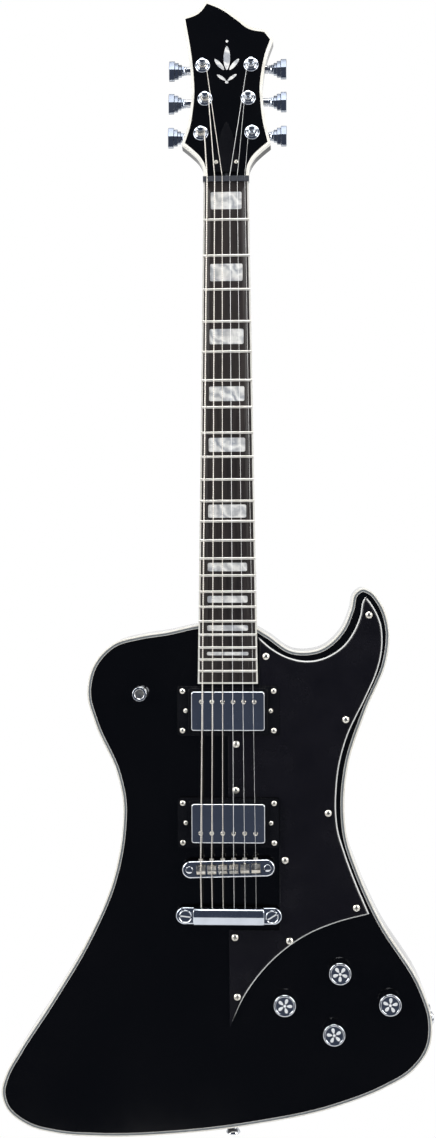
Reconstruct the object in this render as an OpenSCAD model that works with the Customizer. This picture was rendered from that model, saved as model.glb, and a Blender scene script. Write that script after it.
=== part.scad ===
// Solid-body electric guitar with a set neck, hanging upright from its headstock.
// +Z runs up the neck to the headstock, the strings face -Y and the treble side is +X.
// The origin is the middle of the nut's edge, where the open strings end.

/* [Scale and neck] */
// Open string length from the nut to the bridge, without compensation
scale_len = 647.7; // [640:0.1:650]
// Number of frets
frets_n = 22; // [21:1:22]
// Backward lean of the neck against the body's top
neck_angle = 2; // [1.8:0.1:2.2]
// Width of the neck at the nut
nut_w = 43; // [42:0.5:44]
// Width of the fingerboard at its body end
board_end_w = 57; // [56:0.5:57.5]
// Length of the fingerboard from the nut
board_len = 478; // [476:0.5:479]
// Thickness of the fingerboard
board_t = 6; // [5.5:0.1:6.5]
// Radius of the fingerboard's playing surface
board_r = 380; // [300:10:420]
// Depth of the neck behind the playing surface at the nut
neck_depth_nut = 21; // [20:0.5:22]
// Depth of the neck behind the playing surface near the heel
neck_depth_heel = 23.5; // [23:0.5:25]

/* [Headstock] */
// Backward lean of the headstock against the neck
head_angle = 11.5; // [10:0.5:13]
// Thickness of the headstock with its face veneer
head_t = 14; // [13:0.5:15]
// Width of the headstock's edge binding
head_binding_w = 2.6; // [2:0.1:3]

/* [Body] */
// Thickness of the body
body_t = 43; // [40:1:46]
// Distance of the body's top behind the nut
body_drop = 10.4; // [10:0.1:11]
// Width of the white outer binding on the body's top
binding_w = 1.7; // [1.2:0.1:2]
// Width of the fine lines inside the binding
purfling_w = 1.6; // [1:0.1:2]
// Thickness of the pickguard
guard_t = 2.5; // [2:0.1:3]

/* [Strings and bridge] */
// Spread of the outer strings at the nut
nut_spread = 36; // [35:0.5:37]
// Spread of the outer strings at the bridge
bridge_spread = 52; // [51:0.5:53]
// Distance between the bridge posts
bridge_post_gap = 74; // [74:0.1:75]
// Distance between the tailpiece studs
tail_stud_gap = 82; // [82:0.1:82.5]
// Height of the strings above the fingerboard plane at the bridge
bridge_action = 4.6; // [4.4:0.1:5]

/* [Electronics] */
// Diameter of a control knob
knob_d = 21; // [19:0.5:22]
// Height of a control knob above the body's top
knob_h = 19.5; // [18:0.5:21]
// Bore radius of the output jack for a quarter-inch plug
jack_bore_r = 3.25; // [3.2:0.01:3.3]

/* [Hidden] */

$fn = 48;
eps = 0.01;
fit = 0.05;               // radial clearance of a shaft or a screw in its hole
soft_gap = 0.3;           // clearance between parts that only pass each other

// ---- places worked out from the driving dimensions ----
top_y = -body_drop;
back_y = top_y + body_t;
head_origin = [0, 3, 5];
bridge_z = -652.3;
bridge_slant = 1.78;
tail_z = -698;
neck_pickup_z = -503.6;
bridge_pickup_z = -609.8;
knob_at = [[52.7, -780.2], [104.8, -749.6], [99, -807.5], [151.6, -778.6]];
tuner_s = [46, 82.5, 118];
tuner_x = [24.6, 20.9, 23.6];
jack_z = -803;
mid_y = top_y + body_t / 2;
front_strap = [-83.5, -487];
bottom_strap = [2, -904];
strap_seat_depth = 0.6;
cavity_c = [102, -779];
cavity_r = [72, 50];
guard_screws = [
    [133.7, -413], [36.2, -452], [111.5, -512], [94.6, -601], [7.5, -535.5], [7, -579.5],
    [53.5, -646], [121, -691], [57.5, -723], [5.5, -720], [7.5, -777]
];
gauges = [1.17, 0.91, 0.66, 0.43, 0.33, 0.25];
inlay_frets = [1, 3, 5, 7, 9, 12, 15, 17, 19, 21];
inlay_len = [16.5, 16.5, 14.5, 14, 13.3, 12.4, 8, 6.4, 5.2, 3.2];

// ---- curve helpers ----
// Direction of a smooth curve at b, between its neighbours a and c
function heading(a, b, c) =
    let (u = norm(b - a), v = norm(c - b))
    ((b - a) * v / u + (c - b) * u / v) / (u + v);
// Point at t on the smooth span from p to q with headings m and n
function span(p, q, m, n, t) =
    let (d = norm(q - p))
    (2 * t * t * t - 3 * t * t + 1) * p + (t * t * t - 2 * t * t + t) * d * m
    + (3 * t * t - 2 * t * t * t) * q + (t * t * t - t * t) * d * n;
// Closed smooth curve through the points, with k steps in each span
function loop_curve(p, k) =
    let (n = len(p))
    [for (i = [0 : n - 1])
        let (a = p[(i + n - 1) % n], b = p[i], c = p[(i + 1) % n], d = p[(i + 2) % n])
        for (j = [0 : k - 1]) span(b, c, heading(a, b, c), heading(b, c, d), j / k)];
// Open smooth curve through the points, without its last point
function open_curve(p, k) =
    let (n = len(p))
    [for (i = [0 : n - 2])
        let (b = p[i], c = p[i + 1])
        let (m = i == 0 ? (c - b) / norm(c - b) : heading(p[i - 1], b, c))
        let (h = i == n - 2 ? (c - b) / norm(c - b) : heading(b, c, p[i + 2]))
        for (j = [0 : k - 1]) span(b, c, m, h, j / k)];
function unit(v) = v / norm(v);
function area2(p) =
    let (n = len(p))
    [for (i = [0 : n - 1]) p[i][0] * p[(i + 1) % n][1] - p[(i + 1) % n][0] * p[i][1]]
    * [for (i = [0 : n - 1]) 1];
// Outline moved inwards by d, with mitred corners
function inset(p, d) =
    let (n = len(p), s = area2(p) > 0 ? 1 : -1)
    [for (i = [0 : n - 1])
        let (u = unit(p[i] - p[(i + n - 1) % n]), v = unit(p[(i + 1) % n] - p[i]))
        let (a = s * [-u[1], u[0]], b = s * [-v[1], v[0]])
        p[i] + d * (a + b) / (1 + a * b)];
function ellipse(c, r, n) =
    [for (i = [0 : n - 1]) [c[0] + r[0] * cos(360 * i / n), c[1] + r[1] * sin(360 * i / n)]];
function fret_z(n) = -scale_len * (1 - pow(2, -n / 12));
function board_half(z) = (nut_w + (board_end_w - nut_w) * -z / board_len) / 2;

// ---- outlines, as [x, z] ----
body_points = [
    [-32, -422.5], [-57, -428], [-83, -432], [-110, -440], [-129, -460.5], [-135, -488],
    [-128, -515.5], [-107, -564], [-101.5, -590], [-102, -616], [-112, -668], [-133, -717.5],
    [-174, -787], [-204, -833], [-217, -857], [-220.5, -871], [-217, -886], [-195, -904.5],
    [-168, -911.5], [-127, -914], [-52.5, -910.5], [20, -901], [99.5, -883], [149, -863],
    [173, -848], [189.5, -825], [192, -797], [184, -770.5], [143, -702], [122, -654.5],
    [113, -627], [110, -592], [114.3, -553.5], [131, -503.5], [151, -454], [153, -426],
    [144.5, -400.5], [136, -390.5], [127.5, -387.5], [120.5, -392], [116, -408], [107, -428],
    [88, -444.5], [62, -446.5], [37, -430.5], [15, -419]
];
body_outline = loop_curve(body_points, 5);
head_left = [[-nut_w / 2, 0], [-22.5, 11], [-27, 20], [-34, 27.5], [-43, 35.5]];
head_left_edge = [[-43, 35.5], [-38, 52], [-35, 73], [-34, 86], [-34.8, 107], [-37, 128], [-44, 171]];
head_crest = [[-44, 171], [-29.5, 177], [-21, 189]];
head_crown = [[-21, 189], [-6, 182], [12, 168], [22, 159.5], [38, 155.5]];
head_right_edge = [[45, 145.5], [39.5, 129], [36, 110], [34.5, 91], [35.3, 78], [37.5, 58], [42.5, 35]];
head_right = [[42.5, 35], [34, 27.5], [27, 20], [22.5, 11], [nut_w / 2, 0]];
head_outline = concat(
    open_curve(head_left, 4), open_curve(head_left_edge, 4), open_curve(head_crest, 4),
    open_curve(head_crown, 4), [[38, 155.5]], open_curve(head_right_edge, 4),
    open_curve(head_right, 4), [[nut_w / 2, 0]]
);
guard_top = [
    [29.3, -434], [43, -445.5], [56, -452.5], [69, -456], [82, -456], [97, -451],
    [110, -441.5], [119.5, -428], [125.5, -413], [128, -400], [130.5, -395.5]
];
guard_side = [
    [130.5, -395.5], [135, -401], [140.5, -410], [144.5, -420], [146.4, -435], [145, -452],
    [140, -470], [131.5, -489], [111.5, -532], [105, -557], [102.5, -579], [102, -598],
    [104, -618], [109.5, -637], [118, -661], [133, -697]
];
guard_arc = [[133, -697], [102, -705.5], [73, -718], [44.5, -739], [14, -777], [0.3, -806]];
ring_half = [48, 23.3];
guard_edge_x = ring_half[0] + soft_gap;
guard_outline = concat(
    open_curve(guard_top, 4), open_curve(guard_side, 4), open_curve(guard_arc, 4),
    [
        [0.3, -806], [0, -713], [guard_edge_x, -713],
        [guard_edge_x, bridge_pickup_z + ring_half[1] + soft_gap],
        [0, bridge_pickup_z + ring_half[1] + soft_gap],
        [0, neck_pickup_z - ring_half[1] - soft_gap],
        [guard_edge_x, neck_pickup_z - ring_half[1] - soft_gap],
        [guard_edge_x, neck_pickup_z + ring_half[1] + soft_gap],
        [29.3, neck_pickup_z + ring_half[1] + soft_gap]
    ]
);
// Half plan of the fingerboard, made narrower by d on each side and at its end
function board_plan(d) =
    [
        [-nut_w / 2 + d, 0], [-board_end_w / 2 + d, -board_len + d],
        [board_end_w / 2 - d, -board_len + d], [nut_w / 2 - d, 0]
    ];

// ---- placing helpers ----
// A flat outline [x, z] made solid between the depths y0 (front) and y1 (back)
module plate(y0, y1) {
    translate([0, y1, 0]) rotate([90, 0, 0]) linear_extrude(y1 - y0) children();
}
// A side profile [y, z] made solid across the width w
module across(w) {
    translate([-w / 2, 0, 0]) rotate([90, 0, 90]) linear_extrude(w) children();
}
module on_neck() {
    rotate([-neck_angle, 0, 0]) children();
}
module on_head() {
    translate(head_origin) rotate([-neck_angle - head_angle, 0, 0]) children();
}
// A round bar pointing forwards (-Y) from the depth y over the length h
module front_bar(x, z, y, h, r) {
    translate([x, y, z]) rotate([90, 0, 0]) cylinder(h = h, r = r);
}
// A flat box with rounded corners in the [x, z] plane
module rounded_rect(w, h, r) {
    square([w, h - 2 * r], center = true);
    square([w - 2 * r, h], center = true);
    for (sx = [-1, 1])
        for (sz = [-1, 1])
            translate([sx * (w / 2 - r), sz * (h / 2 - r)]) circle(r);
}
// A wood screw with a domed head, its head's underside at the origin and its tip along +Y
module wood_screw(head_r, head_h, shank_r, len) {
    rotate([-90, 0, 0]) cylinder(h = len, r = shank_r, $fn = 24);
    difference() {
        rotate([90, 0, 0])
            rotate_extrude()
                intersection() {
                    translate([0, head_h - screw_dome(head_r, head_h)])
                        circle(screw_dome(head_r, head_h), $fn = 96);
                    square([head_r, head_h]);
                }
        for (a = [0, 90])
            rotate([0, a, 0])
                translate([0, -head_h, 0]) cube([head_r * 1.1, head_h * 0.8, head_r * 0.24], center = true);
    }
}
// Radius of the sphere whose cap has the given radius and height
function screw_dome(r, h) = (r * r + h * h) / (2 * h);

// ---- string geometry ----
function string_x(i, spread) = spread * (i / 5 - 0.5);
// Neck-plane depth turned into the row's frame
function from_neck(p) =
    [p[0], p[1] * cos(neck_angle) + p[2] * sin(neck_angle), -p[1] * sin(neck_angle) + p[2] * cos(neck_angle)];
function from_head(p) =
    let (a = neck_angle + head_angle)
    head_origin + [p[0], p[1] * cos(a) + p[2] * sin(a), -p[1] * sin(a) + p[2] * cos(a)];
function board_sag(x) = board_r - sqrt(board_r * board_r - x * x);
function nut_point(i, z) =
    let (x = string_x(i, nut_spread))
    from_neck([x, board_sag(x) - 1.3 - gauges[i] / 2, z]);
function saddle_z(i) = bridge_z + (bridge_slant_tan * string_x(i, bridge_spread)) - 0.4;
bridge_slant_tan = tan(bridge_slant);
function saddle_point(i) =
    let (x = string_x(i, bridge_spread), z = saddle_z(i))
    [x, z * tan(neck_angle) - bridge_action + board_sag(x) - gauges[i] / 2, z];
function tail_point(i) = [string_x(i, bridge_spread), top_y - 9.5, tail_z + 5];
function tuner_side(i) = i < 3 ? -1 : 1;
function tuner_rank(i) = i < 3 ? i : 5 - i;
function post_x(i) = tuner_side(i) * tuner_x[tuner_rank(i)];
function post_s(i) = tuner_s[tuner_rank(i)];
post_r = 3;
wrap_gap = 0.15;
wrap_depth = 3.2;
wrap_turns = 3;
// Depth in front of the headstock where string i meets its post
function wrap_from(i) = wrap_depth + wrap_turns * (gauges[i] + 0.04);
// Point of string i on its post after a turn by the angle a
function wrap_point(i, a) =
    let (side = tuner_side(i), r = post_r + wrap_gap + gauges[i] / 2)
    from_head([
        post_x(i) - side * r * cos(a),
        a / 360 * (gauges[i] + 0.04) - wrap_from(i),
        post_s(i) + r * sin(a)
    ]);

// ---- body ----
pocket_back = 26;
module neck_pocket_plan() {
    polygon([
        [-board_half(-380), -380], [-board_end_w / 2, -board_len],
        [board_end_w / 2, -board_len], [board_half(-380), -380]
    ]);
}
cavity_floor = top_y + 6;
cover_t = 2;
cover_ledge = 6;
pickup_cavity_y = top_y + 19;
insert_r = 5.5;
insert_len = 18;
module body_wood() {
    plate(top_y, top_y + 1.6) polygon(inset(body_outline, binding_w + purfling_w));
    plate(top_y + 1.6, top_y + 6) polygon(inset(body_outline, binding_w));
    plate(top_y + 6, back_y) polygon(body_outline);
}
module pickup_cavity(z) {
    translate([0, pickup_cavity_y, z])
        rotate([90, 0, 0])
            linear_extrude(30) {
                rounded_rect(73, 41, 3);
                square([90, 14], center = true);
            }
}
module body() {
    color([0.03, 0.03, 0.035])
        difference() {
            body_wood();
            on_neck() plate(-20, pocket_back) neck_pocket_plan();
            pickup_cavity(neck_pickup_z);
            pickup_cavity(bridge_pickup_z);
            plate(cavity_floor, back_y + 1) polygon(ellipse(cavity_c, cavity_r, 64));
            plate(back_y - cover_t, back_y + 1)
                polygon(ellipse(cavity_c, cavity_r + [cover_ledge, cover_ledge], 64));
            for (p = knob_at) front_bar(p[0], p[1], cavity_floor + 1, 10, pot_bush_r + fit);
            for (s = [-1, 1]) {
                front_bar(s * bridge_post_gap / 2, bridge_z + s * bridge_slant_tan * bridge_post_gap / 2,
                    top_y + insert_len, insert_len + 1, insert_r);
                front_bar(s * tail_stud_gap / 2, tail_z, top_y + insert_len, insert_len + 1, insert_r);
            }
            for (p = guard_screws) front_bar(p[0], p[1], top_y + 9.3, 10, 1.3 + fit);
            each_ring_screw() front_bar(0, 0, top_y + 9.3, 10, 1 + fit);
            translate([150, mid_y, jack_z]) rotate([0, 90, 0]) cylinder(h = 50, r = 10.5);
            translate([jack_face_x, mid_y, jack_z]) rotate([0, 90, 0]) cylinder(h = 10, r = jack_plate_r);
            front_bar(front_strap[0], front_strap[1], top_y + 22, 30, 2 + fit);
            translate([bottom_strap[0], mid_y, bottom_strap[1] - 10]) cylinder(h = 32, r = 2 + fit);
            strap_seat();
            each_cover_screw() front_bar(0, 0, back_y, 14, 1.3 + fit);
        }
}
// Flat spot under the bottom strap button
module strap_seat() {
    translate([bottom_strap[0], mid_y, bottom_strap[1] + strap_seat_depth - 20]) cylinder(h = 20, r = 9);
}
module body_binding() {
    color([0.92, 0.91, 0.86])
        difference() {
            plate(top_y, top_y + 6) polygon(body_outline);
            plate(top_y - 1, top_y + 7) polygon(inset(body_outline, binding_w));
            on_neck() plate(-20, pocket_back) neck_pocket_plan();
            strap_seat();
        }
}
module body_purfling() {
    color([0.45, 0.45, 0.45])
        difference() {
            plate(top_y, top_y + 1.6) polygon(inset(body_outline, binding_w));
            plate(top_y - 1, top_y + 3) polygon(inset(body_outline, binding_w + purfling_w));
            on_neck() plate(-20, pocket_back) neck_pocket_plan();
        }
}

// ---- neck ----
// Axis depth of the cone that shapes the back of the neck, for a half width w and a depth d
function cone_depth(w, d) = (d * d - w * w - board_t * board_t) / (2 * (d - board_t));
cone_len = 400;
module neck_cone() {
    c0 = cone_depth(nut_w / 2, neck_depth_nut);
    c1 = cone_depth(board_half(-cone_len), neck_depth_heel);
    lean = asin((c1 - c0) / norm([c1 - c0, cone_len]));
    translate([0, c0, 0])
        rotate([180 + lean, 0, 0])
            cylinder(h = norm([c1 - c0, cone_len]), r1 = neck_depth_nut - c0,
                r2 = neck_depth_heel - c1, $fn = 96);
}
heel_profile = open_curve(
    [[neck_depth_heel - 0.5, -372], [neck_depth_heel + 0.6, -392], [pocket_back - 0.6, -404], [pocket_back, -416]], 5);
module neck_shaft() {
    intersection() {
        neck_cone();
        plate(board_t, 40) polygon(board_plan(0));
        plate(-1, 60) translate([-50, -cone_len]) square([100, cone_len - 4]);
    }
    intersection() {
        plate(board_t, pocket_back) polygon(board_plan(0));
        across(80) polygon(concat(heel_profile,
            [[pocket_back, -416], [pocket_back, -board_len], [board_t, -board_len], [board_t, -372]]));
    }
}
throat_profile = open_curve([[14.5, 26], [15.6, 14], [18.4, 2], [20.6, -12], [neck_depth_nut + 0.1, -30]], 5);
module neck() {
    color([0.04, 0.035, 0.035])
        difference() {
            union() {
                on_neck() neck_shaft();
                on_head() plate(1.5, 5) head_face_plan();
                on_head() plate(5, head_t) polygon(head_outline);
                on_neck()
                    intersection() {
                        across(nut_w) polygon(concat(throat_profile,
                            [[neck_depth_nut + 0.1, -30], [board_t, -30], [board_t, 5], [6, 26]]));
                        neck_throat();
                    }
            }
            on_neck() plate(-3, board_t) translate([-30, -20]) square([60, 25]);
            on_neck() plate(board_t - 1, board_t + 9.5) translate([-3, -430]) square([6, 445]);
            on_head() plate(-2, 6) translate([-5, -2]) square([10, 32]);
            on_head() plate(-8, 1.5) translate([-60, 0.4]) square([120, 60]);
            on_head()
                difference() {
                    plate(0, 5) translate([-60, 1.1]) square([120, 60]);
                    plate(-1, 6) head_face_plan();
                }
            for (i = [0 : 5]) on_head() front_bar(post_x(i), post_s(i), head_t + 1, 30, 5);
            each_head_screw() front_bar(0, 0, 6, 10, 0.9 + fit);
            each_housing_screw() front_bar(0, 0, head_t + 1, 7, 1 + fit);
        }
}
module neck_throat() {
    c0 = cone_depth(nut_w / 2, neck_depth_nut);
    translate([0, c0, -35]) cylinder(h = 60, r = neck_depth_nut - c0 + 0.2, $fn = 96);
}
module truss_rod() {
    color("silver")
        on_neck() {
            plate(board_t + 0.2, board_t + 9) translate([-2.8, -428]) square([5.6, 430]);
            translate([0, board_t + 4.6, 2]) cylinder(h = 9, r = 2.7);
        }
}
// Everything behind the playing surface, raised by extra
module board_curve(extra) {
    rows = [for (x = [-32 : 4 : 32]) [x, board_sag(x) - extra]];
    translate([0, 0, -board_len - 5])
        linear_extrude(board_len + 20)
            polygon(concat(rows, [[32, 20], [-32, 20]]));
}
module inlay_blocks() {
    for (k = [0 : len(inlay_frets) - 1]) {
        n = inlay_frets[k];
        mid = (fret_z(n) + fret_z(n - 1)) / 2;
        w = 29 + 11 * -mid / board_len;
        plate(-2, 1.8) translate([0, mid]) rounded_rect(w, inlay_len[k], min(1.5, inlay_len[k] / 2.5));
    }
}
module fingerboard() {
    color([0.09, 0.08, 0.08])
        on_neck()
            difference() {
                intersection() {
                    plate(-1, board_t) polygon(board_plan(1.6));
                    board_curve(0);
                }
                inlay_blocks();
            }
}
module fingerboard_binding() {
    color([0.9, 0.9, 0.88])
        on_neck()
            difference() {
                intersection() {
                    plate(-1, board_t) polygon(board_plan(0));
                    board_curve(0);
                }
                plate(-2, board_t + 1) polygon([
                    [-nut_w / 2 + 1.6, 1], [-nut_w / 2 + 1.6, 0], board_plan(1.6)[1],
                    board_plan(1.6)[2], [nut_w / 2 - 1.6, 0], [nut_w / 2 - 1.6, 1]
                ]);
            }
}
module inlays() {
    color([0.82, 0.84, 0.86])
        on_neck()
            intersection() {
                inlay_blocks();
                board_curve(0);
            }
}
fret_h = 1.1;
fret_w = 2.3;
module frets() {
    color([0.83, 0.81, 0.77])
        on_neck()
            for (n = [1 : frets_n])
                intersection() {
                    plate(-4, 4)
                        translate([0, fret_z(n)])
                            square([2 * board_half(fret_z(n)) - 0.8, fret_w], center = true);
                    difference() {
                        board_curve(fret_h);
                        board_curve(0);
                    }
                }
}
module nut() {
    color([0.2, 0.21, 0.24])
        on_neck()
            difference() {
                plate(-2, board_t) translate([-nut_w / 2 - 0.5, 0]) square([nut_w + 1, 5]);
                for (i = [0 : 5])
                    translate([string_x(i, nut_spread), 0, -1])
                        translate([-gauges[i] / 2 - 0.05, -3, 0])
                            cube([gauges[i] + 0.1, 3 - 1.25 + board_sag(string_x(i, nut_spread)), 8]);
            }
}

// ---- headstock ----
cover_bell = [[-13, 4.5], [-12.5, 16], [-8.5, 30], [-5, 46], [0, 56], [5, 46], [8.5, 30], [12.5, 16], [13, 4.5]];
// The headstock's face inside its binding, which stops at the nut
module head_face_plan() {
    polygon(inset(head_outline, head_binding_w));
    translate([-nut_w / 2 + head_binding_w, 0]) square([nut_w - 2 * head_binding_w, head_binding_w + 0.5]);
}
module headstock_veneer() {
    color([0.02, 0.02, 0.025])
        on_head()
            difference() {
                plate(0, 1.5) head_face_plan();
                plate(-1, 3) translate([-5, -2]) square([10, 32]);
                plate(-1, 3) translate([-30, -5]) square([60, 5.5]);
                for (i = [0 : 5]) front_bar(post_x(i), post_s(i), 3, 6, 5);
                at_head_screws() front_bar(0, 0, 3, 6, 0.9 + fit);
            }
}
module headstock_binding() {
    color([0.92, 0.91, 0.86])
        on_head()
            difference() {
                plate(0, 5) polygon(head_outline);
                plate(-1, 6) head_face_plan();
                plate(-1, 6) translate([-30, -5]) square([60, 6.2]);
            }
}
module truss_rod_cover() {
    color([0.05, 0.05, 0.05])
        on_head()
            difference() {
                plate(-2, 0) polygon(concat(open_curve(cover_bell, 5), [[13, 4.5]]));
                at_head_screws() front_bar(0, 0, 1, 6, 0.9 + fit);
            }
}
module at_head_screws() {
    for (s = [-1, 1]) translate([s * 9.6, 0, 14.8]) children();
}
module each_head_screw() {
    on_head() at_head_screws() children();
}
module each_housing_screw() {
    on_head()
        for (i = [0 : 5])
            translate([post_x(i), 0, post_s(i) - 12]) children();
}
module headstock_screws() {
    color([0.8, 0.8, 0.78]) {
        each_head_screw() translate([0, -2, 0]) wood_screw(2.1, 1.2, 0.9, 7.5);
        each_housing_screw() translate([0, head_t + 2, 0]) mirror([0, 1, 0]) wood_screw(2, 1.1, 1, 7.5);
    }
}

// ---- tuners ----
worm_lift = 6.5;
worm_depth = head_t + 6;
module tuner_bushings() {
    color([0.75, 0.77, 0.8])
        on_head()
            for (i = [0 : 5])
                translate([post_x(i), 0, post_s(i)])
                    difference() {
                        union() {
                            front_bar(0, 0, 0, 1.4, 7.4);
                            front_bar(0, 0, -1.4, 1.4, 5.6);
                            front_bar(0, 0, head_t, head_t, 5);
                        }
                        front_bar(0, 0, head_t + 1, 20, post_r + fit);
                    }
}
module tuner_post(i) {
    color([0.75, 0.77, 0.8])
        on_head()
            translate([post_x(i), 0, post_s(i)]) {
                difference() {
                    front_bar(0, 0, head_t + 3, head_t + 3 + 10, post_r);
                    translate([-5, -6.9, 0]) rotate([0, 90, 0]) cylinder(h = 10, r = 0.8);
                }
                front_bar(0, 0, head_t + 5.4, 2.6, 4.1);
            }
}
module tuner_housings() {
    color([0.7, 0.72, 0.75])
        on_head()
            for (i = [0 : 5])
                translate([post_x(i), 0, post_s(i)])
                    difference() {
                        union() {
                            plate(head_t, head_t + 10)
                                translate([0, worm_lift / 2]) rounded_rect(15, 22, 3);
                            plate(head_t, head_t + 2) translate([0, -11]) rounded_rect(8, 9, 3.5);
                            translate([tuner_side(i) * 7, worm_depth, worm_lift])
                                rotate([0, tuner_side(i) * 90, 0]) cylinder(h = housing_neck(i), r = 4);
                        }
                        front_bar(0, 0, head_t + 6, 7, 5.2);
                        translate([tuner_side(i) * -5, worm_depth, worm_lift])
                            rotate([0, tuner_side(i) * 90, 0]) cylinder(h = 30, r = 2.2 + fit);
                        translate([0, 0, -12]) front_bar(0, 0, head_t + 3, 5, 1 + fit);
                    }
}
button_from = 40.5;
step_w = [4, 4.4, 6.6];
step_x = [0, 4, 8.4];
// Section of a button step, [y, z], h tall and t thick with a ridge along its middle
module button_section(h, t) {
    polygon([
        [-0.18 * t, -h / 2], [0.18 * t, -h / 2], [0.42 * t, -0.4 * h], [t / 2, 0], [0.42 * t, 0.4 * h],
        [0.18 * t, h / 2], [-0.18 * t, h / 2], [-0.42 * t, 0.4 * h], [-t / 2, 0], [-0.42 * t, -0.4 * h]
    ]);
}
function housing_neck(i) = button_from - 0.5 - tuner_x[tuner_rank(i)] - 7;
// Stepped button that widens outwards, with its shaft and worm
module tuner_button(i) {
    color([0.78, 0.8, 0.83])
        on_head()
            translate([0, worm_depth, post_s(i) + worm_lift]) {
                side = tuner_side(i);
                translate([post_x(i) - side * 3, 0, 0])
                    rotate([0, side * 90, 0])
                        cylinder(h = button_from + 2 - tuner_x[tuner_rank(i)] + 3, r = 2.2);
                translate([side * button_from, 0, 0]) rotate([0, side * 90, 0]) cylinder(h = 2.6, r = 4.2);
                for (k = [0 : 2])
                    translate([side * (button_from + 2.4 + step_x[k] + step_w[k] / 2), 0, 0])
                        across(step_w[k] + 0.1) button_section(11 + 5 * k, 5.6 + 1.3 * k);
            }
}

// ---- strings ----
wrap_step = 20;
function string_route(i) =
    concat(
        [tail_point(i), saddle_point(i), nut_point(i, 0), nut_point(i, 5)],
        [for (a = [0 : wrap_step : 360 * wrap_turns]) wrap_point(i, a)]
    );
tube_sides = 8;
// Ring of points around p, across the direction t
function ring(p, t, r) =
    let (u = unit(cross(t, [0, 1, 0])), v = cross(u, t))
    [for (k = [0 : tube_sides - 1])
        p + r * (cos(360 * k / tube_sides) * u + sin(360 * k / tube_sides) * v)];
// Round tube along a route
module tube(route, r) {
    n = len(route);
    m = tube_sides;
    rings = [for (i = [0 : n - 1]) ring(route[i], unit(route[min(i + 1, n - 1)] - route[max(i - 1, 0)]), r)];
    sides = [for (i = [0 : n - 2])
        for (k = [0 : m - 1]) [i * m + k, i * m + (k + 1) % m, (i + 1) * m + (k + 1) % m, (i + 1) * m + k]];
    polyhedron(
        points = [for (q = rings) for (p = q) p],
        faces = concat(sides, [[for (k = [m - 1 : -1 : 0]) k]], [[for (k = [0 : m - 1]) (n - 1) * m + k]])
    );
}
module string_run(i) {
    tube(string_route(i), gauges[i] / 2);
}
module wound_strings() {
    color([0.78, 0.74, 0.66]) for (i = [0 : 2]) string_run(i);
}
module plain_strings() {
    color([0.85, 0.85, 0.85]) for (i = [3 : 5]) string_run(i);
}

// ---- pickups ----
neck_ring_h = 5;
bridge_ring_h = 8.5;
neck_cover_top = top_y - 8.2;
bridge_cover_top = top_y - 11.6;
ring_screw_at = [43.4, 18.8];
height_screw_x = 40.4;
module pickup_ring(z, h) {
    difference() {
        union() {
            translate([0, top_y, z]) rotate([90, 0, 0]) linear_extrude(h - 1.6) rounded_rect(96, 46.6, 3);
            translate([0, top_y - h + 1.6, z]) rotate([90, 0, 0]) linear_extrude(1.6) rounded_rect(75, 43, 3);
        }
        translate([0, top_y + 1, z]) rotate([90, 0, 0]) linear_extrude(h + 2) rounded_rect(71.2, 38.9, 3);
        for (sx = [-1, 1]) {
            front_bar(sx * height_screw_x, z, top_y + 1, h + 2, 1.4 + fit);
            for (sz = [-1, 1])
                front_bar(sx * ring_screw_at[0], z + sz * ring_screw_at[1], top_y + 1, h + 2, 1 + fit);
        }
    }
}
module neck_pickup_ring() {
    color([0.04, 0.04, 0.04]) pickup_ring(neck_pickup_z, neck_ring_h);
}
module bridge_pickup_ring() {
    color([0.04, 0.04, 0.04]) pickup_ring(bridge_pickup_z, bridge_ring_h);
}
function pole_z(z, sign) = z + sign * 9;
module pickup_cover(z, top, sign, spread) {
    difference() {
        translate([0, top + 12, z]) rotate([90, 0, 0]) linear_extrude(12) rounded_rect(70, 37.6, 2.5);
        translate([0, top + 13, z]) rotate([90, 0, 0]) linear_extrude(12.4) rounded_rect(68.8, 36.4, 2);
        for (i = [0 : 5]) front_bar(string_x(i, spread), pole_z(z, sign), top + 2, 4, 2.4 + fit);
    }
}
module pickup_poles(z, top, sign, spread) {
    for (i = [0 : 5])
        difference() {
            front_bar(string_x(i, spread), pole_z(z, sign), top + 16, 16.6, 2.4);
            translate([string_x(i, spread), top - 0.6, pole_z(z, sign)]) cube([6, 1.2, 0.8], center = true);
        }
}
module pickup_coils(z, top, sign, spread) {
    difference() {
        union() {
            for (s = [-1, 1])
                translate([0, top + 13, z + s * 9])
                    rotate([90, 0, 0]) linear_extrude(12) rounded_rect(67, 17, 6);
            translate([0, top + 15.4, z]) rotate([90, 0, 0]) linear_extrude(2.4) rounded_rect(67, 35.6, 2);
            translate([0, top + 15.4, z]) rotate([90, 0, 0]) linear_extrude(2.4) square([88, 8], center = true);
        }
        for (i = [0 : 5]) front_bar(string_x(i, spread), pole_z(z, sign), top + 20, 24, 2.4);
        for (s = [-1, 1]) front_bar(s * height_screw_x, z, top + 20, 10, 1.4 + fit);
    }
}
pole_spread_neck = 50;
pole_spread_bridge = 52;
module neck_pickup_cover() {
    color([0.7, 0.73, 0.78]) pickup_cover(neck_pickup_z, neck_cover_top, 1, pole_spread_neck);
}
module bridge_pickup_cover() {
    color([0.7, 0.73, 0.78]) pickup_cover(bridge_pickup_z, bridge_cover_top, -1, pole_spread_bridge);
}
module neck_pickup_poles() {
    color([0.8, 0.8, 0.8]) pickup_poles(neck_pickup_z, neck_cover_top, 1, pole_spread_neck);
}
module bridge_pickup_poles() {
    color([0.8, 0.8, 0.8]) pickup_poles(bridge_pickup_z, bridge_cover_top, -1, pole_spread_bridge);
}
module neck_pickup_coils() {
    color([0.1, 0.1, 0.1]) pickup_coils(neck_pickup_z, neck_cover_top, 1, pole_spread_neck);
}
module bridge_pickup_coils() {
    color([0.1, 0.1, 0.1]) pickup_coils(bridge_pickup_z, bridge_cover_top, -1, pole_spread_bridge);
}
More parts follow.
